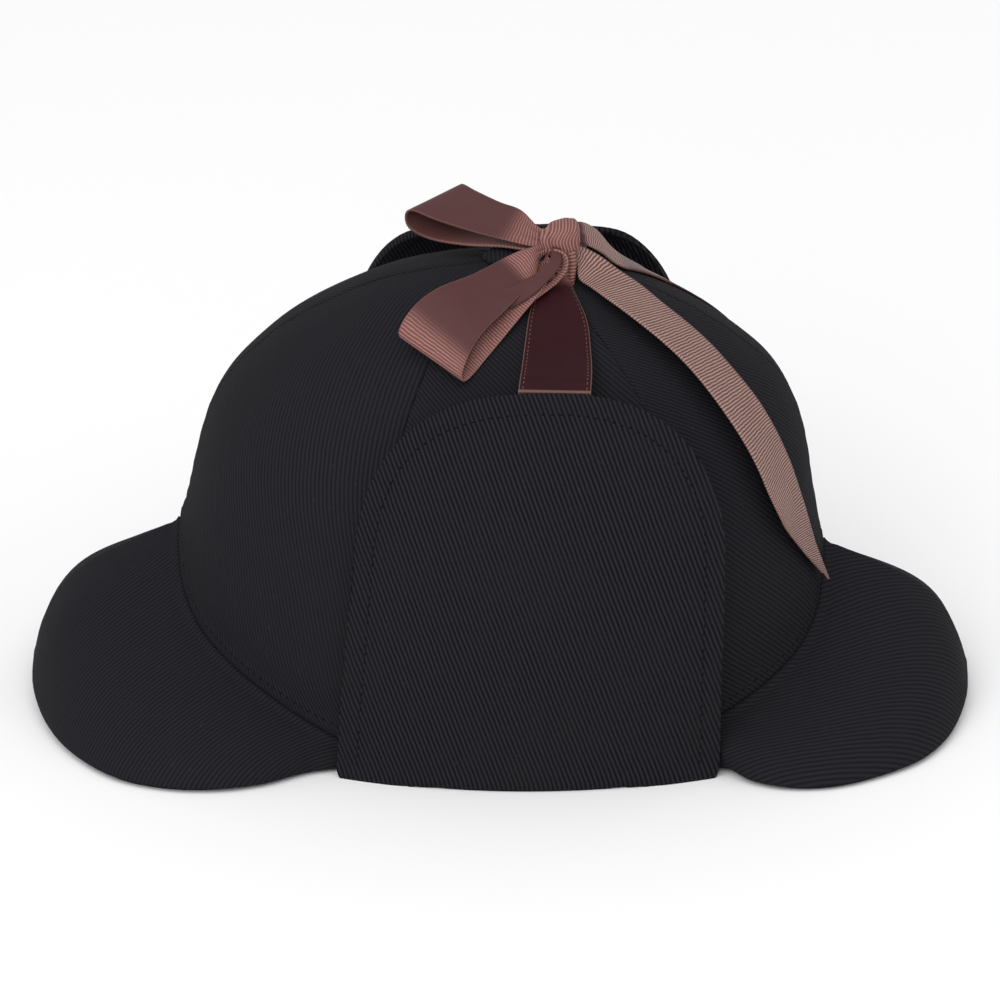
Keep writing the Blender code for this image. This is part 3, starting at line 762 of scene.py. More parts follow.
class HatSizes(bpy.types.PropertyGroup):
    """The hat's sizes"""
    gore_wall: bpy.props.FloatProperty(
        name="Crown wall", description="Twill and lining of the crown together",
        default=0.0020, min=0.0005, unit="LENGTH")
    peak_wall: bpy.props.FloatProperty(
        name="Peak wall", description="Twill on both faces of a peak and the board between",
        default=0.0030, min=0.001, unit="LENGTH")
    flap_wall: bpy.props.FloatProperty(
        name="Flap wall", description="The two layers of an ear flap",
        default=0.0026, min=0.001, unit="LENGTH")
    ribbon_width: bpy.props.FloatProperty(
        name="Ribbon width", description="Width of the grosgrain ribbon laid flat",
        default=0.022, min=0.005, unit="LENGTH")
    ribbon_wall: bpy.props.FloatProperty(
        name="Ribbon thickness", description="Thickness of the grosgrain ribbon",
        default=0.0007, min=0.0003, unit="LENGTH")
    wale_pitch: bpy.props.FloatProperty(
        name="Wale pitch", description="From one diagonal ridge of the twill to the next",
        default=0.00135, min=0.0005, precision=5, unit="LENGTH")
    yarn_pitch: bpy.props.FloatProperty(
        name="Yarn pitch", description="From one short yarn across a ridge to the next",
        default=0.00055, min=0.0002, precision=5, unit="LENGTH")
    rib_pitch: bpy.props.FloatProperty(
        name="Rib pitch", description="From one rib of the grosgrain to the next",
        default=0.0010, min=0.0003, precision=5, unit="LENGTH")
    stitch_pitch: bpy.props.FloatProperty(
        name="Stitch pitch", description="From one topstitch to the next",
        default=0.0027, min=0.001, precision=4, unit="LENGTH")
    flap_stitch_inset: bpy.props.FloatProperty(
        name="Flap stitching inset", description="From a flap's edge to its topstitching",
        default=0.0052, min=0.001, precision=4, unit="LENGTH")
    crown_stitch_inset: bpy.props.FloatProperty(
        name="Crown stitching inset", description="From the crown's lower edge to its topstitching",
        default=0.0037, min=0.001, precision=4, unit="LENGTH")


COLOUR = {"size": 3, "min": 0.0, "max": 1.0, "subtype": "COLOR"}


class HatColours(bpy.types.PropertyGroup):
    """The hat's colours"""
    twill_valley: bpy.props.FloatVectorProperty(
        name="Twill, low", description="Black between the ridges of the twill",
        default=(0.0010, 0.0010, 0.0014), **COLOUR)
    twill_ridge: bpy.props.FloatVectorProperty(
        name="Twill, high", description="Black on the ridges of the twill",
        default=(0.0222, 0.0212, 0.0268), **COLOUR)
    # Paler, greener black, laid on in random patches
    twill_faded: bpy.props.FloatVectorProperty(
        name="Twill, faded", description="Paler, greener black where the dye is uneven",
        default=(0.0150, 0.0156, 0.0170), **COLOUR)
    bloom: bpy.props.FloatVectorProperty(
        name="Bloom", description="Tint of the soft light that the nap catches",
        default=(0.72, 0.80, 0.78), **COLOUR)
    lint: bpy.props.FloatVectorProperty(
        name="Lint", description="Fine dust and loose fibres",
        default=(0.060, 0.060, 0.063), **COLOUR)
    lining: bpy.props.FloatVectorProperty(
        name="Lining", description="Plain black inside the hat",
        default=(0.010, 0.010, 0.012), **COLOUR)
    thread: bpy.props.FloatVectorProperty(
        name="Thread", description="Black sewing thread",
        default=(0.0018, 0.0018, 0.0024), **COLOUR)
    ribbon_smooth: bpy.props.FloatVectorProperty(
        name="Ribbon, smooth", description="Brown of the bow where it is satin",
        default=(0.083, 0.0325, 0.0325), **COLOUR)
    ribbon_ribbed: bpy.props.FloatVectorProperty(
        name="Ribbon, ribbed", description="Paler brown on the ribs of the grosgrain",
        default=(0.330, 0.160, 0.142), **COLOUR)
    ribbon_edge: bpy.props.FloatVectorProperty(
        name="Ribbon edge", description="The paler thread along the ribbon's edges",
        default=(0.30, 0.18, 0.145), **COLOUR)
    # Painted light: a paler copy of the ribbed brown, for the tails that face up into the light
    tail_ribbed: bpy.props.FloatVectorProperty(
        name="Tails, ribbed", description="Faded brown on the ribs of the two tails",
        default=(0.410, 0.250, 0.218), **COLOUR)
    # Painted shade: a darker copy of the satin brown, for the ties in the shade of the bow
    tie_smooth: bpy.props.FloatVectorProperty(
        name="Tie, smooth", description="Dark brown of the ties, in the shade of the bow",
        default=(0.0265, 0.0066, 0.0090), **COLOUR)


class HatStudio(bpy.types.PropertyGroup):
    """The floor and the camera"""
    floor: bpy.props.FloatVectorProperty(
        name="Floor", description="Colour of the floor and the air round the hat",
        default=(0.90, 0.90, 0.90), **COLOUR)
    elevation: bpy.props.FloatProperty(
        name="Camera elevation", description="Angle of the camera above the floor",
        default=math.radians(23.0), subtype="ANGLE")
    distance: bpy.props.FloatProperty(
        name="Camera distance", description="From the camera to what it aims at",
        default=1.5, unit="LENGTH")
    aim_height: bpy.props.FloatProperty(
        name="Aim height", description="Height of the point that the camera aims at",
        default=0.0628, unit="LENGTH")
    lens: bpy.props.FloatProperty(
        name="Lens", description="Focal length in millimetres on a 36 mm sensor", default=169.02)


# ---------------------------------------------------------------- materials

def shared_material(name, make):
    """A material by its name, made the first time it is asked for."""
    return bpy.data.materials.get(name) or make()


def settings():
    """The sizes and the colours."""
    scene = bpy.context.scene
    return scene.hat_sizes, scene.hat_colours


def twill(name="hat_twill", contrast=0.6):
    """The twill of the crown and the peaks."""
    sizes, colours = settings()
    return shared_material(name, lambda: twill_material(name, sizes, colours, contrast))


def flap_twill():
    """The same twill, crisper, as it shows on the flaps."""
    return twill("flap_twill", 1.1)


def lining():
    """The cotton on the crown's inner faces."""
    return shared_material("hat_lining", lambda: lining_material(settings()[1]))


def thread():
    """The thread of the topstitching."""
    return shared_material("hat_thread", lambda: thread_material(settings()[1]))


def ribbon_look(name, smooth, ribbed, groove_share, stitched=False):
    """A ribbon in two browns, the grooves between its ribs a share as light as the ribs."""
    sizes, colours = settings()
    return shared_material(name, lambda: ribbon_material(
        name, sizes, tuple(smooth), tuple(ribbed), tuple(colours.ribbon_edge), groove_share,
        stitched))


def grosgrain():
    """The ribbon of the loops and the knot."""
    colours = settings()[1]
    return ribbon_look("hat_grosgrain", colours.ribbon_smooth, colours.ribbon_ribbed, 0.36)


def tail_ribbon():
    """The same ribbon with painted light: paler, as the tails face up into the light."""
    colours = settings()[1]
    return ribbon_look("hat_tail_ribbon", colours.ribbon_smooth, colours.tail_ribbed, 0.15)


def tie_ribbon():
    """The same ribbon, darker with painted shade, and stitched along its edges."""
    colours = settings()[1]
    return ribbon_look("hat_tie_ribbon", colours.tie_smooth, colours.ribbon_ribbed, 0.36,
                       stitched=True)


# ---------------------------------------------------------------- crown

GORE_SLANTS = (25.0, 40.0, 42.0, -42.0, -40.0, -25.0)     # of the wales, in degrees
GORE_SPAN = 0.095           # rough width and length of a gore, for the steps of its grid
GORE_LENGTH = 0.170
LENGTH_STEPS = 240
SEAM_STEPS = 300
FINE_EDGE = (0.0, 0.4, 0.8, 1.2, 1.8, 2.6, 3.2, 3.7, 4.2, 4.8, 5.6, 7.0, 9.0)
UNEVEN_CROWN = 0.0006       # depth of the slow unevenness of the cloth
OUTSIDE = 0.4               # of the wall, how near the outside a point counts as on it
SEAM_RIDGES = (Ridge(0.0, -0.00038, 0.0007),)
ALLOWANCE_RISE = 0.00018    # of the cloth folded back beside a seam, and where it ends
ALLOWANCE_SPAN = (0.0020, 0.0085)
SEAM_PUCKER = Pucker(0.00012, 900.0, 5.0, 60.0)
SEAM_PUCKER_REACH = 0.006
BAND_RISE = 0.0006          # of the hem band, and where it ends
BAND_SPAN = (0.0040, 0.0058)
LOOSE_CROWN = (0.0, 0.012)  # from no unevenness to all of it


def crown_edge_line(steps=720):
    """Points round the crown's lower edge."""
    line = []
    for step in range(steps):
        degrees = 360.0 * step / steps
        line.append(crown_point(degrees, edge_place(degrees, edge_height(degrees))))
    return line


def make_gore(index, edge_line, sizes):
    """One gore: its grid between two seams, its wall, then its seams, hem and unevenness."""
    start = SEAMS_DEG[index]
    end = SEAMS_DEG[(index + 1) % len(SEAMS_DEG)] or 360.0
    columns = edge_steps(GORE_SPAN, FINE_EDGE, 0.0035)
    rows = start_steps(GORE_LENGTH, FINE_EDGE, 0.0032)
    lowest = {}
    for share in columns:
        degrees = start + (end - start) * share
        lowest[share] = edge_place(degrees, edge_height(degrees))

    def place(across, along):
        down = TIP_SHARE + (lowest[across] - TIP_SHARE) * (1 - along)
        degrees = start + (end - start) * across
        room = math.degrees(SEAM_GAP / 2 / crown_point(degrees, down).xy.length)
        return crown_point(degrees + room * (1 - 2 * across), down)

    middle = (start + end) / 2
    span = (len(CROWN_ROWS) - 1 - TIP_SHARE) / LENGTH_STEPS
    lengths = [0.0]
    for step in range(LENGTH_STEPS):
        down = TIP_SHARE + step * span
        stretch = crown_point(middle, down + span) - crown_point(middle, down)
        lengths.append(lengths[-1] + stretch.length)

    def lay(across, along, point):
        down = TIP_SHARE + (lowest[across] - TIP_SHARE) * (1 - along)
        side = (point - crown_point(middle, down)).length * (1 if across > 0.5 else -1)
        spot = (down - TIP_SHARE) / span
        step = min(int(spot), LENGTH_STEPS - 1)
        length = lengths[step] + (lengths[step + 1] - lengths[step]) * (spot - step)
        return turned((side, -length), GORE_SLANTS[index])

    piece = cloth_grid(GORE_NAMES[index], columns, rows, place, lay)
    seam_line = []
    for degrees, low in ((start, lowest[columns[0]]), (end, lowest[columns[-1]])):
        for step in range(SEAM_STEPS + 1):
            down = TIP_SHARE + (low - TIP_SHARE) * (1 - step / SEAM_STEPS)
            seam_line.append(crown_point(degrees, down))
    seams, hem = NearLine(seam_line), NearLine(edge_line)
    outer = [vertex.co.copy() for vertex in piece.data.vertices]
    give_wall(piece, sizes.gore_wall, -1.0, (twill(), lining()))
    surface = NearLine(outer)
    hem_ridges = (Ridge(0.0, -0.0005, 0.0007), Ridge(sizes.crown_stitch_inset, -0.0004, 0.0007))

    def relief(point):
        if surface.distance(point) > sizes.gore_wall * OUTSIDE:
            return 0.0
        from_seam, from_hem = seams.distance(point), hem.distance(point)
        seam = ridged(SEAM_RIDGES, from_seam)
        seam += ALLOWANCE_RISE * (1 - smooth_step(*ALLOWANCE_SPAN, from_seam))
        seam += puckered(SEAM_PUCKER, point.z, point) * math.exp(-from_seam / SEAM_PUCKER_REACH)
        band = BAND_RISE * (1 - smooth_step(*BAND_SPAN, from_hem)) + ridged(hem_ridges, from_hem)
        loose = smooth_step(*LOOSE_CROWN, min(from_seam, from_hem))
        return seam + band + undulation(point, UNEVEN_CROWN) * loose

    press(piece, relief)
    finish_piece(piece, GORE_NAMES[index])


class HAT_OT_crown(bpy.types.Operator):
    """Make the six gores of the crown"""
    bl_idname = "hat.crown"
    bl_label = "Crown"

    def execute(self, context):
        sizes = context.scene.hat_sizes
        edge_line = crown_edge_line()
        for index in range(len(GORE_NAMES)):
            make_gore(index, edge_line, sizes)
        return {"FINISHED"}


BUTTON_FIT = 0.97           # of the solid's width
BUTTON_DOMING = 0.8         # power of its height, under 1 for a fuller top
BUTTON_FOLDS = 8
BUTTON_FOLD_DEPTH = 0.03
BUTTON_LIFT = 0.0002        # of its rim above the lower face of the solid's


class HAT_OT_button(bpy.types.Operator):
    """Make the cloth-covered button on top of the crown"""
    bl_idname = "hat.button"
    bl_label = "Button"

    def execute(self, context):
        low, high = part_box("crown_button")
        clear_selection()
        bpy.ops.mesh.primitive_uv_sphere_add(segments=48, ring_count=32, radius=1.0)
        piece = context.object
        piece.name = piece.data.name = dressed("crown_button")
        centre, half = (low + high) / 2, (high - low) / 2
        piece.data.uv_layers[0].name = CLOTH_MAP
        for vertex in piece.data.vertices:
            x, y, z = vertex.co
            top = max(z, 0.0) ** BUTTON_DOMING
            fold = 0.0
            if abs(z) < 0.98:
                folds = math.cos(BUTTON_FOLDS * math.atan2(y, x))
                fold = BUTTON_FOLD_DEPTH * folds * (1 - abs(z))
            wide = BUTTON_FIT + fold
            height = top * (high.z - low.z - BUTTON_LIFT) + min(z, 0.0) * BUTTON_LIFT
            vertex.co = (centre.x + half.x * x * wide, centre.y + half.y * y * wide,
                         low.z + BUTTON_LIFT + height)
        for loop in piece.data.loops:
            point = piece.data.vertices[loop.vertex_index].co
            piece.data.uv_layers[0].data[loop.index].uv = (point.x, point.y)
        piece.data.materials.append(twill())
        finish_piece(piece, "crown_button")
        return {"FINISHED"}


# ---------------------------------------------------------------- peaks

PEAK_SLANTS = (68.0, 56.0)
PEAK_SPAN = 0.270           # rough length and depth of a peak, for the steps of its grid
PEAK_DEPTH = 0.056
SHARPEST_TURN = 0.3         # of the flat cloth from one column to the next, in radians
PEAK_FINE_EDGE = (0.0, 0.25, 0.6, 1.0, 1.5, 2.2, 3.2, 4.6, 6.5)
UNEVEN_PEAK = 0.0007
LOOSE_PEAK = (0.002, 0.015)
LIP_RIDGES = (Ridge(0.0032, 0.00025, 0.0014),)
WELT_RIDGES = (Ridge(0.0025, 0.0008, 0.0009), Ridge(0.0046, -0.0003, 0.0009),
               Ridge(0.0, -0.0002, 0.0008))
ROUNDED = 0.8               # of a full half round, at the edges of peaks and flaps


def unrolled(place, columns):
    """Each column's inner end and direction on the flat cloth, from the middle outward."""
    middle = columns.index(0.5)
    flat = {0.5: (Vector((0.0, 0.0)), 0.0)}
    for way in (1, -1):
        spot, heading = Vector((0.0, 0.0)), 0.0
        index = middle
        while 0 <= index + way < len(columns):
            here, after = columns[index], columns[index + way]
            inner = (place(after, 0.0) - place(here, 0.0)).length
            outer = (place(after, 1.0) - place(here, 1.0)).length
            long = max((place(after, 1.0) - place(after, 0.0)).length, 0.001)
            turn = min((outer - inner) / long, SHARPEST_TURN) * way
            between = heading + turn / 2
            spot = spot + Vector((-math.sin(between), math.cos(between))) * inner * way
            heading += turn
            index += way
            flat[after] = (spot, heading)
    return flat


def edge_rounding(half, from_edge):
    """How far a wall of this half thickness is pressed in near its edge, to round it."""
    near = max(half - from_edge, 0.0)
    return -ROUNDED * (half - math.sqrt(max(half * half - near * near, 0.0)))


def make_peak(name, rows, facing, turn, slant, sizes):
    """A peak: its grid from the crown to its rim, its wall, then its rim and its seam."""
    columns = sorted({*edge_steps(PEAK_SPAN, PEAK_FINE_EDGE, 0.0032), 0.5})
    steps = edge_steps(PEAK_DEPTH, PEAK_FINE_EDGE, 0.0026)
    cached = {}

    def place(across, along):
        key = (2 * across - 1 if facing > 0 else 1 - 2 * across, along)
        if key not in cached:
            cached[key] = peak_point(rows, facing, turn, *key)
        return cached[key]

    flat = unrolled(place, columns)

    def lay(across, along, point):
        spot, heading = flat[across]
        out = (point - place(across, 0.0)).length
        return turned((spot.x + out * math.cos(heading), spot.y + out * math.sin(heading)), slant)

    piece = cloth_grid(name, columns, steps, place, lay)
    seam_line = [place(column, 0.0) for column in columns]
    rim_line = [place(step / 900, 1.0) for step in range(901)]
    rim_line += [place(end, step / 120) for step in range(121) for end in (0.0, 1.0)]
    seam, rim = NearLine(seam_line), NearLine(rim_line)
    give_wall(piece, sizes.peak_wall, -1.0, (twill(), twill()))
    half = sizes.peak_wall / 2

    def relief(point):
        from_rim, from_seam = rim.distance(point), seam.distance(point)
        edges = ridged(LIP_RIDGES, from_rim) + ridged(WELT_RIDGES, from_seam)
        loose = smooth_step(*LOOSE_PEAK, min(from_rim, from_seam))
        return edge_rounding(half, from_rim) + edges + undulation(point, UNEVEN_PEAK) * loose

    press(piece, relief)
    for vertex in piece.data.vertices:
        vertex.co.z = max(vertex.co.z, 0.0)
    finish_piece(piece, name)


class HAT_OT_peaks(bpy.types.Operator):
    """Make the two arched peaks"""
    bl_idname = "hat.peaks"
    bl_label = "Peaks"

    def execute(self, context):
        sizes = context.scene.hat_sizes
        make_peak("front_peak", FRONT_PEAK_ROWS, -1, 0.0, PEAK_SLANTS[0], sizes)
        make_peak("back_peak", BACK_PEAK_ROWS, 1, BACK_PEAK_TURN, PEAK_SLANTS[1], sizes)
        return {"FINISHED"}


# ---------------------------------------------------------------- ear flaps

FLAP_SLANT = 20.0
FLAP_SPAN = 0.150           # rough width and length of a flap, for the steps of its grid
FLAP_LENGTH = 0.125
FLAP_FINE_EDGE = (0.0, 0.25, 0.6, 1.0, 1.5, 2.2, 3.2, 4.0, 4.6, 5.2, 5.8, 6.4, 7.4, 9.0)
HEM_STEPS = 12
HEM_SHARE = 0.10            # of the grid's rows, how many lie in the hem and its fold
HEM_SETTLING = 0.0009       # how far the fold is flattened on the floor, and up to what height
SETTLING_HEIGHT = 0.004
UNEVEN_FLAP = 0.0006
LOOSE_FLAP = (0.0, 0.02)
EDGE_START = 0.006          # height above which a flap has an edge, below is its fold
NO_EDGE = 1.0               # a distance that is far from any edge
FLAP_PUCKER = Pucker(0.00012, 1150.0, 4.0, 80.0)
FLAP_PUCKER_WIDTH = 0.003


def hem_form(wall, signed):
    """Length of the turned hem, radius of its fold and height of its cloth, fading to the sides."""
    kept = 1 - smooth_step(HEM_SPAN[0], HEM_SPAN[1], abs(signed))
    return FLAP_HEM * kept, FLAP_FOLD_RADIUS * kept, wall / 2 * kept


def flap_fold_point(flap, wall, signed, travelled):
    """Middle of the flap's cloth at a length from the inner edge of its turned hem."""
    hem, radius, base = hem_form(wall, signed)
    fold = radius * math.pi / 2
    if travelled < hem:
        inward, up = radius + hem - travelled, base
    elif travelled < hem + fold:
        turn = (travelled - hem) / radius
        inward, up = radius * (1 - math.sin(turn)), base + radius * (1 - math.cos(turn))
    else:
        inward, up = 0.0, base + radius + travelled - hem - fold
    point = flap_body_point(flap, signed, up)
    point.y -= flap.facing * inward
    return point


def flap_total(flap, wall, signed):
    """Length of cloth from the inner edge of the hem to the flap's top."""
    hem, radius, base = hem_form(wall, signed)
    return hem + radius * math.pi / 2 + flap_outline_length(flap, signed) - base - radius


def eased(across):
    """From -1 to 1 across a flap, with closer steps at its sides."""
    return math.sin(math.pi / 2 * (2 * across - 1))


def make_flap(flap, sizes):
    """A flap: its grid from the turned hem to its top, its wall, then its edge and stitching."""
    wall = sizes.flap_wall
    columns = edge_steps(FLAP_SPAN, FLAP_FINE_EDGE, 0.0028)
    folded = FLAP_HEM + FLAP_FOLD_RADIUS * math.pi / 2
    rows = [HEM_SHARE * step / HEM_STEPS for step in range(HEM_STEPS)]
    upper = start_steps(FLAP_LENGTH, FLAP_FINE_EDGE, 0.0028)
    rows += [HEM_SHARE + (1 - HEM_SHARE) * (1 - share) for share in reversed(upper)]

    def travelled(signed, along):
        if along < HEM_SHARE:
            return along / HEM_SHARE * folded
        total = flap_total(flap, wall, signed)
        return folded + (along - HEM_SHARE) / (1 - HEM_SHARE) * (total - folded)

    def place(across, along):
        signed = eased(across) * -flap.facing
        return flap_fold_point(flap, wall, signed, travelled(signed, along))

    def lay(across, along, point):
        signed = eased(across) * -flap.facing
        hem, radius, base = hem_form(wall, signed)
        fold = hem + radius * math.pi / 2 - radius - base
        return turned((point.x, travelled(signed, along) - fold), FLAP_SLANT)

    piece = cloth_grid(flap.name, columns, rows, place, lay)
    outline = [place(step / 700, 1.0) for step in range(701)]
    for end in (0.0, 1.0):
        outline += [place(end, step / 300) for step in range(301)]
    edge = NearLine(outline)
    give_wall(piece, wall, 0.0, (flap_twill(),))
    half = wall / 2
    ridges = (Ridge(0.0030, 0.00010, 0.0020), Ridge(sizes.flap_stitch_inset, -0.00026, 0.0008))

    def relief(point):
        from_edge = edge.distance(point) if point.z > EDGE_START else NO_EDGE
        edges = edge_rounding(half, from_edge) + ridged(ridges, from_edge)
        pucker = puckered(FLAP_PUCKER, point.x + point.z, point)
        pucker *= dip(from_edge - sizes.flap_stitch_inset, FLAP_PUCKER_WIDTH)
        loose = smooth_step(*LOOSE_FLAP, point.z)
        return edges + pucker + undulation(point, UNEVEN_FLAP) * loose

    press(piece, relief)
    for vertex in piece.data.vertices:
        settle = HEM_SETTLING * (1 - smooth_step(0.0, SETTLING_HEIGHT, vertex.co.z))
        vertex.co.z = max(vertex.co.z - settle, 0.0)
    finish_piece(piece, flap.name)
    # The cut is no rectangle: its area is its mean length, taken in 100 strips, by its width
    mean_length = sum(flap_total(flap, wall, step / 50 - 1 + 0.01) for step in range(100)) / 100
    width = 2 * (FLAP_HALF_WIDTH - flap.taper / 2)
    length = flap_total(flap, wall, 0.0)
    beneath = "gore_side_left" if flap.facing < 0 else "gore_side_right"
    width * mean_length


class HAT_OT_flaps(bpy.types.Operator):
    """Make the two folded ear flaps"""
    bl_idname = "hat.flaps"
    bl_label = "Ear flaps"

    def execute(self, context):
        for flap in FLAPS:
            make_flap(flap, context.scene.hat_sizes)
        return {"FINISHED"}


# ---------------------------------------------------------------- ribbon

# How the ribbon looks along each length: 1 ribbed, 0 smooth satin, -1 painted shade
RIBBED = ((0.0, 1.0), (1.0, 1.0))
TIE_RIBBING = ((0.0, 1.0), (0.12, 0.8), (0.20, 0.05), (0.82, 0.05), (1.0, 0.4))
LOOP_HIGH_RIBBING = ((0.0, 1.0), (0.12, 0.8), (0.21, 0.04), (0.55, 0.04), (0.85, 0.7), (1.0, 1.0))
LOOP_LOW_RIBBING = ((0.0, 1.0), (0.17, 1.0), (0.205, 0.03), (0.38, 0.05), (0.47, 0.9), (1.0, 1.0))
# The far tail starts in a crease of painted shade, and has painted shade again where it turns over
# the crown's far side
TAIL_RIGHT_RIBBING_AND_SHADE = ((0.0, -0.7), (0.07, -0.5), (0.12, 1.0), (0.24, 1.0), (0.33, 0.1),
                      (0.40, 0.1), (0.46, -0.76), (0.60, -0.76), (0.75, 0.5), (1.0, 0.5))

# Small parts of the bow round the knot: the low loop's satin running up to it, the loop's edge
# curling back under it, and two gathers below
SATIN_LOOK = ((0.0, 0.03), (1.0, 0.03))
SATIN_ROWS = (
    RibbonRow(-7.4, -32.3, 143.8, -1.8, -34.0, 135.2),
    RibbonRow(-2.5, -30.2, 144.6, 2.1, -31.5, 138.2),
    RibbonRow(1.8, -28.7, 145.7, 5.5, -31.0, 141.0),
    RibbonRow(6.1, -25.9, 146.6, 8.9, -28.8, 142.4),
    RibbonRow(10.5, -23.0, 147.8, 12.6, -25.8, 144.6),
    RibbonRow(14.2, -19.5, 149.8, 16.6, -21.5, 147.3),
    RibbonRow(15.8, -16.5, 151.7, 18.8, -17.5, 149.7),
    RibbonRow(15.8, -14.5, 152.6, 18.9, -15.5, 151.3),
    RibbonRow(16.1, -12.5, 153.2, 18.9, -13.0, 152.4),
)
CURL_ROWS = (
    RibbonRow(8.6, -28.5, 142.0, 9.5, -29.5, 141.1),
    RibbonRow(13.3, -23.0, 143.6, 14.5, -24.0, 142.9),
    RibbonRow(16.7, -19.5, 145.2, 18.2, -20.5, 144.9),
    RibbonRow(18.9, -17.0, 146.9, 20.4, -18.0, 147.3),
    RibbonRow(19.5, -15.5, 148.3, 21.0, -16.5, 149.7),
    RibbonRow(19.2, -14.5, 150.3, 20.1, -15.5, 152.0),
    RibbonRow(17.6, -13.5, 151.2, 17.6, -14.5, 152.9),
    RibbonRow(15.8, -13.0, 151.4, 15.2, -14.0, 152.7),
)
GATHER_RIGHT_ROWS = (
    RibbonRow(17.1, -11.5, 149.5, 23.2, -11.0, 151.6),
    RibbonRow(17.4, -12.0, 147.1, 23.6, -12.0, 148.1),
    RibbonRow(18.0, -12.5, 144.3, 23.3, -13.0, 144.8),
    RibbonRow(19.2, -13.0, 141.8, 23.0, -13.5, 142.3),
    RibbonRow(20.2, -12.5, 138.3, 22.7, -13.0, 138.8),
)
GATHER_LEFT_ROWS = (
    RibbonRow(15.2, -12.5, 144.9, 18.6, -13.0, 143.5),
    RibbonRow(14.0, -13.5, 142.7, 17.7, -14.5, 141.1),
    RibbonRow(12.7, -14.0, 140.5, 16.4, -15.0, 138.6),
    RibbonRow(12.4, -14.0, 137.6, 14.9, -15.5, 136.5),
)


SURFACE_COLUMNS = 96        # of the smooth crown that the ribbons are laid on
SURFACE_ROWS = 48
SURFACE_TOP = 0.02          # where it starts, in rows of the crown's table


def crown_surface():
    """The whole outside of the crown as one tree, for ribbons to lie on."""
    clear_selection()
    bpy.ops.mesh.primitive_grid_add(x_subdivisions=SURFACE_COLUMNS, y_subdivisions=SURFACE_ROWS,
                                    size=2.0)
    piece = bpy.context.object
    for vertex in piece.data.vertices:
        down = SURFACE_TOP + (len(CROWN_ROWS) - 1 - SURFACE_TOP) * (1 - vertex.co.y) / 2
        vertex.co = crown_point(180.0 + 180.0 * vertex.co.x, down)
    polygons = [tuple(face.vertices) for face in piece.data.polygons]
    tree = BVHTree.FromPolygons([vertex.co.copy() for vertex in piece.data.vertices], polygons)
    bpy.data.objects.remove(piece, do_unlink=True)
    return tree


STRIP_STEPS = 400
STRIP_COLUMNS = 22
TRIM_COLUMNS = 8            # of the small strips of the low loop
GATHER_COLUMNS = 10
ROW_LENGTH = 0.0012         # of a ribbon's grid
PLEATS = 2.5                # across the ribbon where it runs into the knot
PLEAT_FADE = 0.007
SETTLED_CLEARANCE = 0.0005  # from the crown to the middle of a ribbon that has settled on it


def toward_knot(row, share):
    """The row drawn a share of the way to the middle of the knot."""
    return RibbonRow(*(value + (centre - value) * share
                       for value, centre in zip(row, KNOT_CENTRE * 2)))


class Strip:
    """The surface of a ribbon through its rows, kept off the crown where a tree is given.

    It is pleated by an amount at its two ends, puffed up round a share of its length, and settled
    on the crown over a span of it.
    """

    def __init__(self, rows, tree=None, pleats=0.0, pleat_ends=(0.0, 0.0), puff=None, settle=None):
        self.rows, self.tree = rows, tree
        self.pleats, self.pleat_ends, self.puff, self.settle = pleats, pleat_ends, puff, settle
        middles = [sum(self.edges(step / STRIP_STEPS), Vector()) / 2
                   for step in range(STRIP_STEPS + 1)]
        self.walked = [0.0]
        for before, after in zip(middles, middles[1:]):
            self.walked.append(self.walked[-1] + (after - before).length)
        self.length = self.walked[-1]

    def edges(self, along):
        """Its far and near edge at a share of its rows."""
        row = read_rows(self.rows, along * (len(self.rows) - 1))
        return (Vector((row.far_x, row.far_y, row.far_z)) * MM,
                Vector((row.near_x, row.near_y, row.near_z)) * MM)

    def normal(self, along, far, near):
        """Its direction outward at a share of its rows."""
        ahead = self.edges(min(along + 0.01, 1.0))[0] - self.edges(max(along - 0.01, 0.0))[0]
        normal = ahead.cross(near - far)
        return normal.normalized() if normal.length > 0 else Vector((0, 0, 1))

    def place(self, across, along):
        """A point of it, from the far edge to the near one and from its start to its end."""
        far, near = self.edges(along)
        point = far.lerp(near, across)
        fade = (self.pleat_ends[0] * math.exp(-along * self.length / PLEAT_FADE)
                + self.pleat_ends[1] * math.exp(-(1 - along) * self.length / PLEAT_FADE))
        wave = math.cos(math.tau * PLEATS * across)
        point += self.normal(along, far, near) * self.pleats * fade * wave
        if self.puff:
            at, reach, rise = self.puff
            point.z += rise * dip(along - at, reach) * math.sin(math.pi * across)
        if self.tree:
            nearest, outward, _, _ = self.tree.find_nearest(point)
            height = (point - nearest).dot(outward)
            if height < RIBBON_CLEARANCE:
                point += outward * (RIBBON_CLEARANCE - height)
                height = RIBBON_CLEARANCE
            if self.settle:
                point += outward * (SETTLED_CLEARANCE - height) * smooth_step(*self.settle, along)
        return point

    def distance(self, along):
        """Length of ribbon up to a share of its rows."""
        spot = along * STRIP_STEPS
        index = min(int(spot), STRIP_STEPS - 1)
        return self.walked[index] + (self.walked[index + 1] - self.walked[index]) * (spot - index)


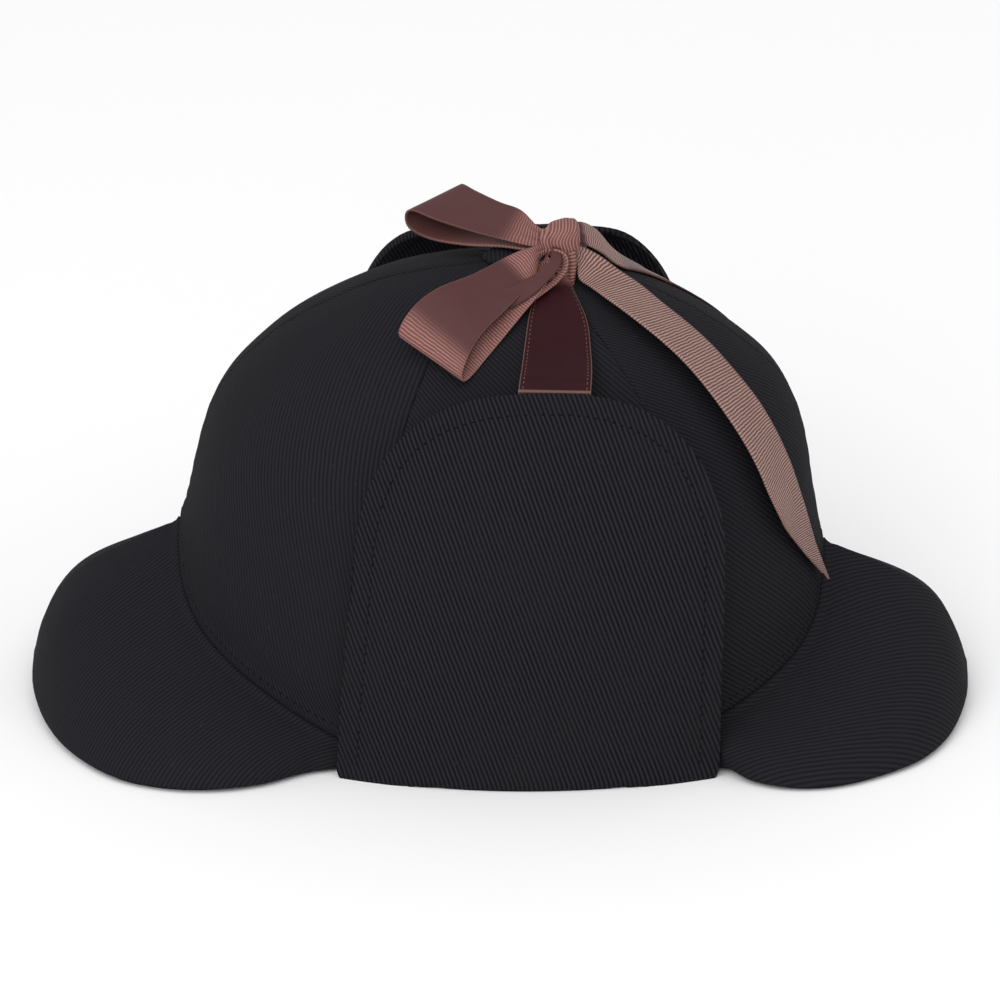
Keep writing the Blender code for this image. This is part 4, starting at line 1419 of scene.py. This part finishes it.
def make_strip(name, strip, sizes, material, ribbing_and_shade, columns=STRIP_COLUMNS, rib_spread=1.0,
               shown=(0.0, 1.0)):
    """A strip of ribbon with its wall, showing this span of the ribbon's pattern."""
    def ribbed(across, along):
        for (a, p), (b, q) in zip(ribbing_and_shade, ribbing_and_shade[1:]):
            if a <= along <= b:
                return p + (q - p) * smooth_step(a, b, along)
        return ribbing_and_shade[-1][1]

    def lay(across, along, point):
        share = shown[0] + across * (shown[1] - shown[0])
        return share * sizes.ribbon_width, strip.distance(along) / rib_spread

    lines = round(strip.length / ROW_LENGTH)
    piece = cloth_grid(name, [step / columns for step in range(columns + 1)],
                       [step / lines for step in range(lines + 1)], strip.place, lay, ribbed)
    give_wall(piece, sizes.ribbon_wall, 0.0, (material,))
    return piece


def join_pieces(pieces):
    """Join the later pieces to the first."""
    select_only(pieces[0])
    for piece in pieces[1:]:
        piece.select_set(True)
    bpy.ops.object.join()
    return pieces[0]


def make_ribbon(name, rows, leads, tree, sizes, held, rests_on, material, ribbing_and_shade, extra=(),
                rib_spread=1.0, **form):
    """A ribbon through its rows, led into the knot at its start and end by these shares."""
    start, end = leads
    rows = ([toward_knot(rows[0], start)] if start else []) + list(rows)
    rows += [toward_knot(rows[-1], end)] if end else []
    strip = Strip(rows, tree, **form)
    pieces = [make_strip(name, strip, sizes, material, ribbing_and_shade, rib_spread=rib_spread)]
    for index, (more, more_ribbing_and_shade, shown) in enumerate(extra):
        pieces.append(make_strip("%s_%d" % (name, index), Strip(more), sizes, material,
                                 more_ribbing_and_shade, TRIM_COLUMNS, shown=shown))
    piece = join_pieces(pieces)
    finish_piece(piece, name)
    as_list(rests_on)


class HAT_OT_ties(bpy.types.Operator):
    """Make the two ribbon ties from the flaps to the bow"""
    bl_idname = "hat.ties"
    bl_label = "Ties"

    def execute(self, context):
        sizes, tree = context.scene.hat_sizes, crown_surface()
        for name, rows, beneath in (("tie_left", TIE_LEFT_ROWS, "gore_side_left"),
                                    ("tie_right", TIE_RIGHT_ROWS, "gore_side_right")):
            make_ribbon(name, rows, (0, 0), tree, sizes, "stretched", [beneath], tie_ribbon(),
                        TIE_RIBBING, pleats=0.0012, pleat_ends=(1.0, 0.0))
        return {"FINISHED"}


def make_knot(sizes):
    """The knot, a ball pressed into a bound band, with the two gathers below it."""
    low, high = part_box("bow_knot")
    centre, half = (low + high) / 2, (high - low) / 2
    clear_selection()
    bpy.ops.mesh.primitive_uv_sphere_add(segments=96, ring_count=72, radius=1.0)
    piece = bpy.context.object
    piece.name = piece.data.name = dressed("bow_knot")
    piece.data.uv_layers[0].name = CLOTH_MAP
    ribs = piece.data.attributes.new(RIBBING_AND_SHADE, "FLOAT", "POINT")
    ribs.data.foreach_set("value", [1.0] * len(piece.data.vertices))
    for vertex in piece.data.vertices:
        x, y, z = vertex.co
        boxy = (abs(x) ** 3.2 + abs(y) ** 2.6 + abs(z) ** 3.2) ** (-1 / 3.0)
        waist = 1.0 - 0.22 * dip(x + 0.48 + 0.12 * z, 0.13)
        waist -= 0.16 * (1 - smooth_step(-0.75, -0.45, x))
        crease = 1.0 - 0.05 * dip(x - 0.62 + 0.22 * z, 0.09)
        fold = 1.0 + 0.014 * math.sin(7.0 * x + 2.5 * z)
        shape = boxy * waist * crease * fold
        lift = 0.0029 * smooth_step(-0.5, 0.95, x) * max(z, 0.0)
        vertex.co = (centre.x + half.x * x * boxy * 0.94, centre.y + half.y * y * shape,
                     centre.z + half.z * z * shape * 0.92 + lift)
    for loop in piece.data.loops:
        point = piece.data.vertices[loop.vertex_index].co - centre
        wave = 0.0006 * math.sin(point.z * 800.0) - point.z * 0.15
        piece.data.uv_layers[0].data[loop.index].uv = (sizes.ribbon_width * 0.36 + point.z,
                                                       point.x + wave)
    piece.data.materials.append(grosgrain())
    parts = [piece]
    for index, rows in enumerate((GATHER_LEFT_ROWS, GATHER_RIGHT_ROWS)):
        strip = Strip(rows, pleats=0.0006, pleat_ends=(1.0, 1.0))
        parts.append(make_strip("bow_gather_%d" % index, strip, sizes, grosgrain(), RIBBED,
                                GATHER_COLUMNS))
    finish_piece(join_pieces(parts), "bow_knot")


class HAT_OT_bow(bpy.types.Operator):
    """Make the knot, loops and tails of the bow"""
    bl_idname = "hat.bow"
    bl_label = "Bow"

    def execute(self, context):
        sizes, tree, look = context.scene.hat_sizes, crown_surface(), grosgrain()
        make_knot(sizes)
        both = {"pleats": 0.0009, "pleat_ends": (1.0, 1.0)}
        start = {"pleats": 0.0010, "pleat_ends": (1.0, 0.0)}
        trim = ((SATIN_ROWS, SATIN_LOOK, (0.15, 0.85)), (CURL_ROWS, RIBBED, (0.0, 1.0)))
        make_ribbon("bow_loop_high", LOOP_HIGH_ROWS, (0.5, 0.5), tree, sizes, "folded",
                    ["bow_knot"], look, LOOP_HIGH_RIBBING, **both)
        make_ribbon("bow_loop_low", LOOP_LOW_ROWS, (0.5, 0.3), tree, sizes, "folded",
                    ["bow_knot"], look, LOOP_LOW_RIBBING, trim, puff=(0.13, 0.06, 0.0022), **both)
        make_ribbon("bow_tail_left", TAIL_LEFT_ROWS, (0.5, 0), tree, sizes, "draped",
                    ["gore_back_left"], tail_ribbon(), RIBBED, **start)
        make_ribbon("bow_tail_right", TAIL_RIGHT_ROWS, (0.5, 0), tree, sizes, "draped",
                    ["gore_back_right"], tail_ribbon(), TAIL_RIGHT_RIBBING_AND_SHADE, rib_spread=1.3,
                    settle=(0.34, 0.46), **start)
        return {"FINISHED"}


# ---------------------------------------------------------------- stitching

STITCH_WIDTH = 0.40         # of its length
STITCH_HEIGHT = 0.22
STITCH_SHARE = 0.5          # of the pitch that a stitch fills
SIDE_STEPS = 60
FIRST_STEP = 4              # of the side's, above the fold
TOP_STEPS = 400


def stitch_seed():
    """One topstitch, 1 unit long and flat."""
    clear_selection()
    bpy.ops.mesh.primitive_uv_sphere_add(segments=8, ring_count=6, radius=0.5)
    piece = bpy.context.object
    shape = [Vector((vertex.co.x, vertex.co.y * STITCH_WIDTH, vertex.co.z * STITCH_HEIGHT))
             for vertex in piece.data.vertices]
    faces = [tuple(face.vertices) for face in piece.data.polygons]
    bpy.data.objects.remove(piece, do_unlink=True)
    return shape, faces


def sew(name, line, pitch, tree):
    """A row of stitches along a line of points, each lying on the cloth below it."""
    shape, faces = stitch_seed()
    length = pitch * STITCH_SHARE
    points, polygons = [], []
    walked, due = 0.0, pitch / 2
    for first, second in zip(line, line[1:]):
        span = (second - first).length
        while walked + span >= due and span > 0:
            spot = first.lerp(second, (due - walked) / span)
            on_cloth, outward, _, _ = tree.find_nearest(spot)
            ahead = (second - first).normalized()
            side = outward.cross(ahead).normalized()
            start = len(points)
            for corner in shape:
                points.append(on_cloth + ahead * corner.x * length + side * corner.y * length
                              + outward * corner.z * length)
            polygons += [tuple(start + index for index in face) for face in faces]
            due += pitch
        walked += span
    mesh = bpy.data.meshes.new(name)
    mesh.from_pydata(points, [], polygons)
    mesh.materials.append(thread())
    piece = bpy.data.objects.new(name, mesh)
    bpy.context.scene.collection.objects.link(piece)
    finish_piece(piece, None)


def surface_tree(*names):
    """The cloth of these nodes as one tree, for stitches to lie on."""
    points, polygons = [], []
    for name in names:
        mesh = bpy.data.objects[dressed(name)].data
        start = len(points)
        points += [vertex.co.copy() for vertex in mesh.vertices]
        polygons += [tuple(start + index for index in face.vertices) for face in mesh.polygons]
    return BVHTree.FromPolygons(points, polygons)


def inset_line(line, tree, amount):
    """The closed line moved up over the surface, away from the edge."""
    moved = []
    for before, here, after in zip(line[-1:] + line[:-1], line, line[1:] + line[:1]):
        _, outward, _, _ = tree.find_nearest(here)
        ahead = (after - before).normalized()
        inward = outward.cross(ahead)
        if inward.z < 0:
            inward = -inward
        moved.append(here + inward.normalized() * amount)
    return moved


def flap_stitch_line(flap, sizes):
    """The line of a flap's topstitching, up one side, over the top and down the other."""
    inset = sizes.flap_stitch_inset
    over = []
    for step in range(TOP_STEPS + 1):
        signed = eased(step / TOP_STEPS)
        top = flap_outline_length(flap, signed) - inset * (1 - abs(signed) ** 3)
        over.append((signed * (1 - inset / FLAP_HALF_WIDTH), top))
    first, last = over[0], over[-1]
    up = [(first[0], first[1] * step / SIDE_STEPS) for step in range(FIRST_STEP, SIDE_STEPS)]
    down = [(last[0], last[1] * (1 - step / SIDE_STEPS))
            for step in range(1, SIDE_STEPS - FIRST_STEP + 1)]
    outward = Vector((0, flap.facing * sizes.flap_wall, 0))
    return [flap_body_point(flap, *spot) + outward for spot in up + over + down]


class HAT_OT_stitching(bpy.types.Operator):
    """Sew the topstitching of the crown's lower edge and of the flaps"""
    bl_idname = "hat.stitching"
    bl_label = "Stitching"

    def execute(self, context):
        sizes = context.scene.hat_sizes
        line = inset_line(crown_edge_line(), crown_surface(), sizes.crown_stitch_inset)
        sew("crown_topstitch", line + line[:1], sizes.stitch_pitch, surface_tree(*GORE_NAMES))
        for flap in FLAPS:
            sew(flap.name + "_topstitch", flap_stitch_line(flap, sizes), sizes.stitch_pitch,
                surface_tree(flap.name))
        return {"FINISHED"}


# ---------------------------------------------------------------- studio

SUN_ANGLE = math.radians(70.0)
SUN_STRENGTH = 1.25
SUN_PLACE = (-0.15, -0.50, 0.85)
AIR_STRENGTH = 0.66
FLOOR_SIZE = 30.0
SENSOR_WIDTH = 36.0
LAMP_AIM = (0, 0, 0.05)
Lamp = namedtuple("Lamp", "name power size place")
LAMPS = (
    Lamp("lamp_front", 17.0, 1.6, (-0.7, -1.9, 1.0)),
    Lamp("lamp_right", 3.0, 1.2, (1.6, -0.6, 1.1)),
)


def place_light(name, light, place, aim):
    """Hang a light at a place and turn it to its aim."""
    lamp = bpy.data.objects.new(name, light)
    lamp.location = place
    lamp.rotation_mode = "QUATERNION"
    lamp.rotation_quaternion = (Vector(aim) - Vector(place)).to_track_quat("-Z", "Y")
    bpy.context.scene.collection.objects.link(lamp)


def area_light(lamp):
    """A soft square light that aims at the hat."""
    light = bpy.data.lights.new(lamp.name, "AREA")
    light.energy = lamp.power
    light.shape = "SQUARE"
    light.size = lamp.size
    place_light(lamp.name, light, lamp.place, LAMP_AIM)


def sun_light(name, strength, place):
    """Wide even light from a place towards the middle, the same all over the floor."""
    light = bpy.data.lights.new(name, "SUN")
    light.energy = strength
    light.angle = SUN_ANGLE
    place_light(name, light, place, (0, 0, 0))


class HAT_OT_stage(bpy.types.Operator):
    """Make the floor, the lights and the camera"""
    bl_idname = "hat.stage"
    bl_label = "Stage"

    def execute(self, context):
        studio = context.scene.hat_studio
        clear_selection()
        bpy.ops.mesh.primitive_plane_add(size=FLOOR_SIZE, location=(0, 0, 0))
        floor = context.object
        floor.name = floor.data.name = "studio_floor"
        floor.data.materials.append(pale_material("floor_paint", tuple(studio.floor), 0.9))
        sun_light("lamp_above", SUN_STRENGTH, SUN_PLACE)
        for lamp in LAMPS:
            area_light(lamp)
        world = bpy.data.worlds.new("studio_air")
        world.use_nodes = True
        air = world.node_tree.nodes["Background"].inputs
        air["Color"].default_value = (1.0, 1.0, 1.0, 1.0)
        air["Strength"].default_value = AIR_STRENGTH
        context.scene.world = world
        context.scene.view_settings.view_transform = "Standard"
        data = bpy.data.cameras.new("camera")
        data.lens = studio.lens
        data.sensor_width = SENSOR_WIDTH
        camera = bpy.data.objects.new("camera", data)
        back = Vector((0, -math.cos(studio.elevation), math.sin(studio.elevation)))
        camera.location = Vector((0, 0, studio.aim_height)) + back * studio.distance
        camera.rotation_mode = "QUATERNION"
        camera.rotation_quaternion = (-back).to_track_quat("-Z", "Y")
        context.scene.collection.objects.link(camera)
        context.scene.camera = camera
        return {"FINISHED"}


# ---------------------------------------------------------------- add-on

STEPS = (HAT_OT_stage, HAT_OT_crown, HAT_OT_button, HAT_OT_peaks, HAT_OT_flaps, HAT_OT_ties,
         HAT_OT_bow, HAT_OT_stitching)


class HAT_PT_panel(bpy.types.Panel):
    """The hat's sizes, colours and making"""
    bl_idname = "HAT_PT_panel"
    bl_label = "Deerstalker Hat"
    bl_space_type = "VIEW_3D"
    bl_region_type = "UI"
    bl_category = "Hat"

    def draw(self, context):
        """List the settings, then the steps in their order."""
        column = self.layout.column()
        for group in (context.scene.hat_sizes, context.scene.hat_colours, context.scene.hat_studio):
            for key in group.__annotations__:
                column.prop(group, key)
        for step in STEPS:
            column.operator(step.bl_idname)


CLASSES = (HatSizes, HatColours, HatStudio, *STEPS, HAT_PT_panel)


def register():
    """Register the classes and give the scene its settings."""
    for item in CLASSES:
        bpy.utils.register_class(item)
    bpy.types.Scene.hat_sizes = bpy.props.PointerProperty(type=HatSizes)
    bpy.types.Scene.hat_colours = bpy.props.PointerProperty(type=HatColours)
    bpy.types.Scene.hat_studio = bpy.props.PointerProperty(type=HatStudio)


def unregister():
    """Take the settings and the classes away again."""
    del bpy.types.Scene.hat_studio
    del bpy.types.Scene.hat_colours
    del bpy.types.Scene.hat_sizes
    for item in reversed(CLASSES):
        bpy.utils.unregister_class(item)


def main():
    """Make the whole hat."""
    register()
    bpy.ops.hat.stage()
    bpy.ops.hat.crown()
    bpy.ops.hat.button()
    bpy.ops.hat.peaks()
    bpy.ops.hat.flaps()
    bpy.ops.hat.ties()
    bpy.ops.hat.bow()
    bpy.ops.hat.stitching()


if __name__ == "__main__":
    main()
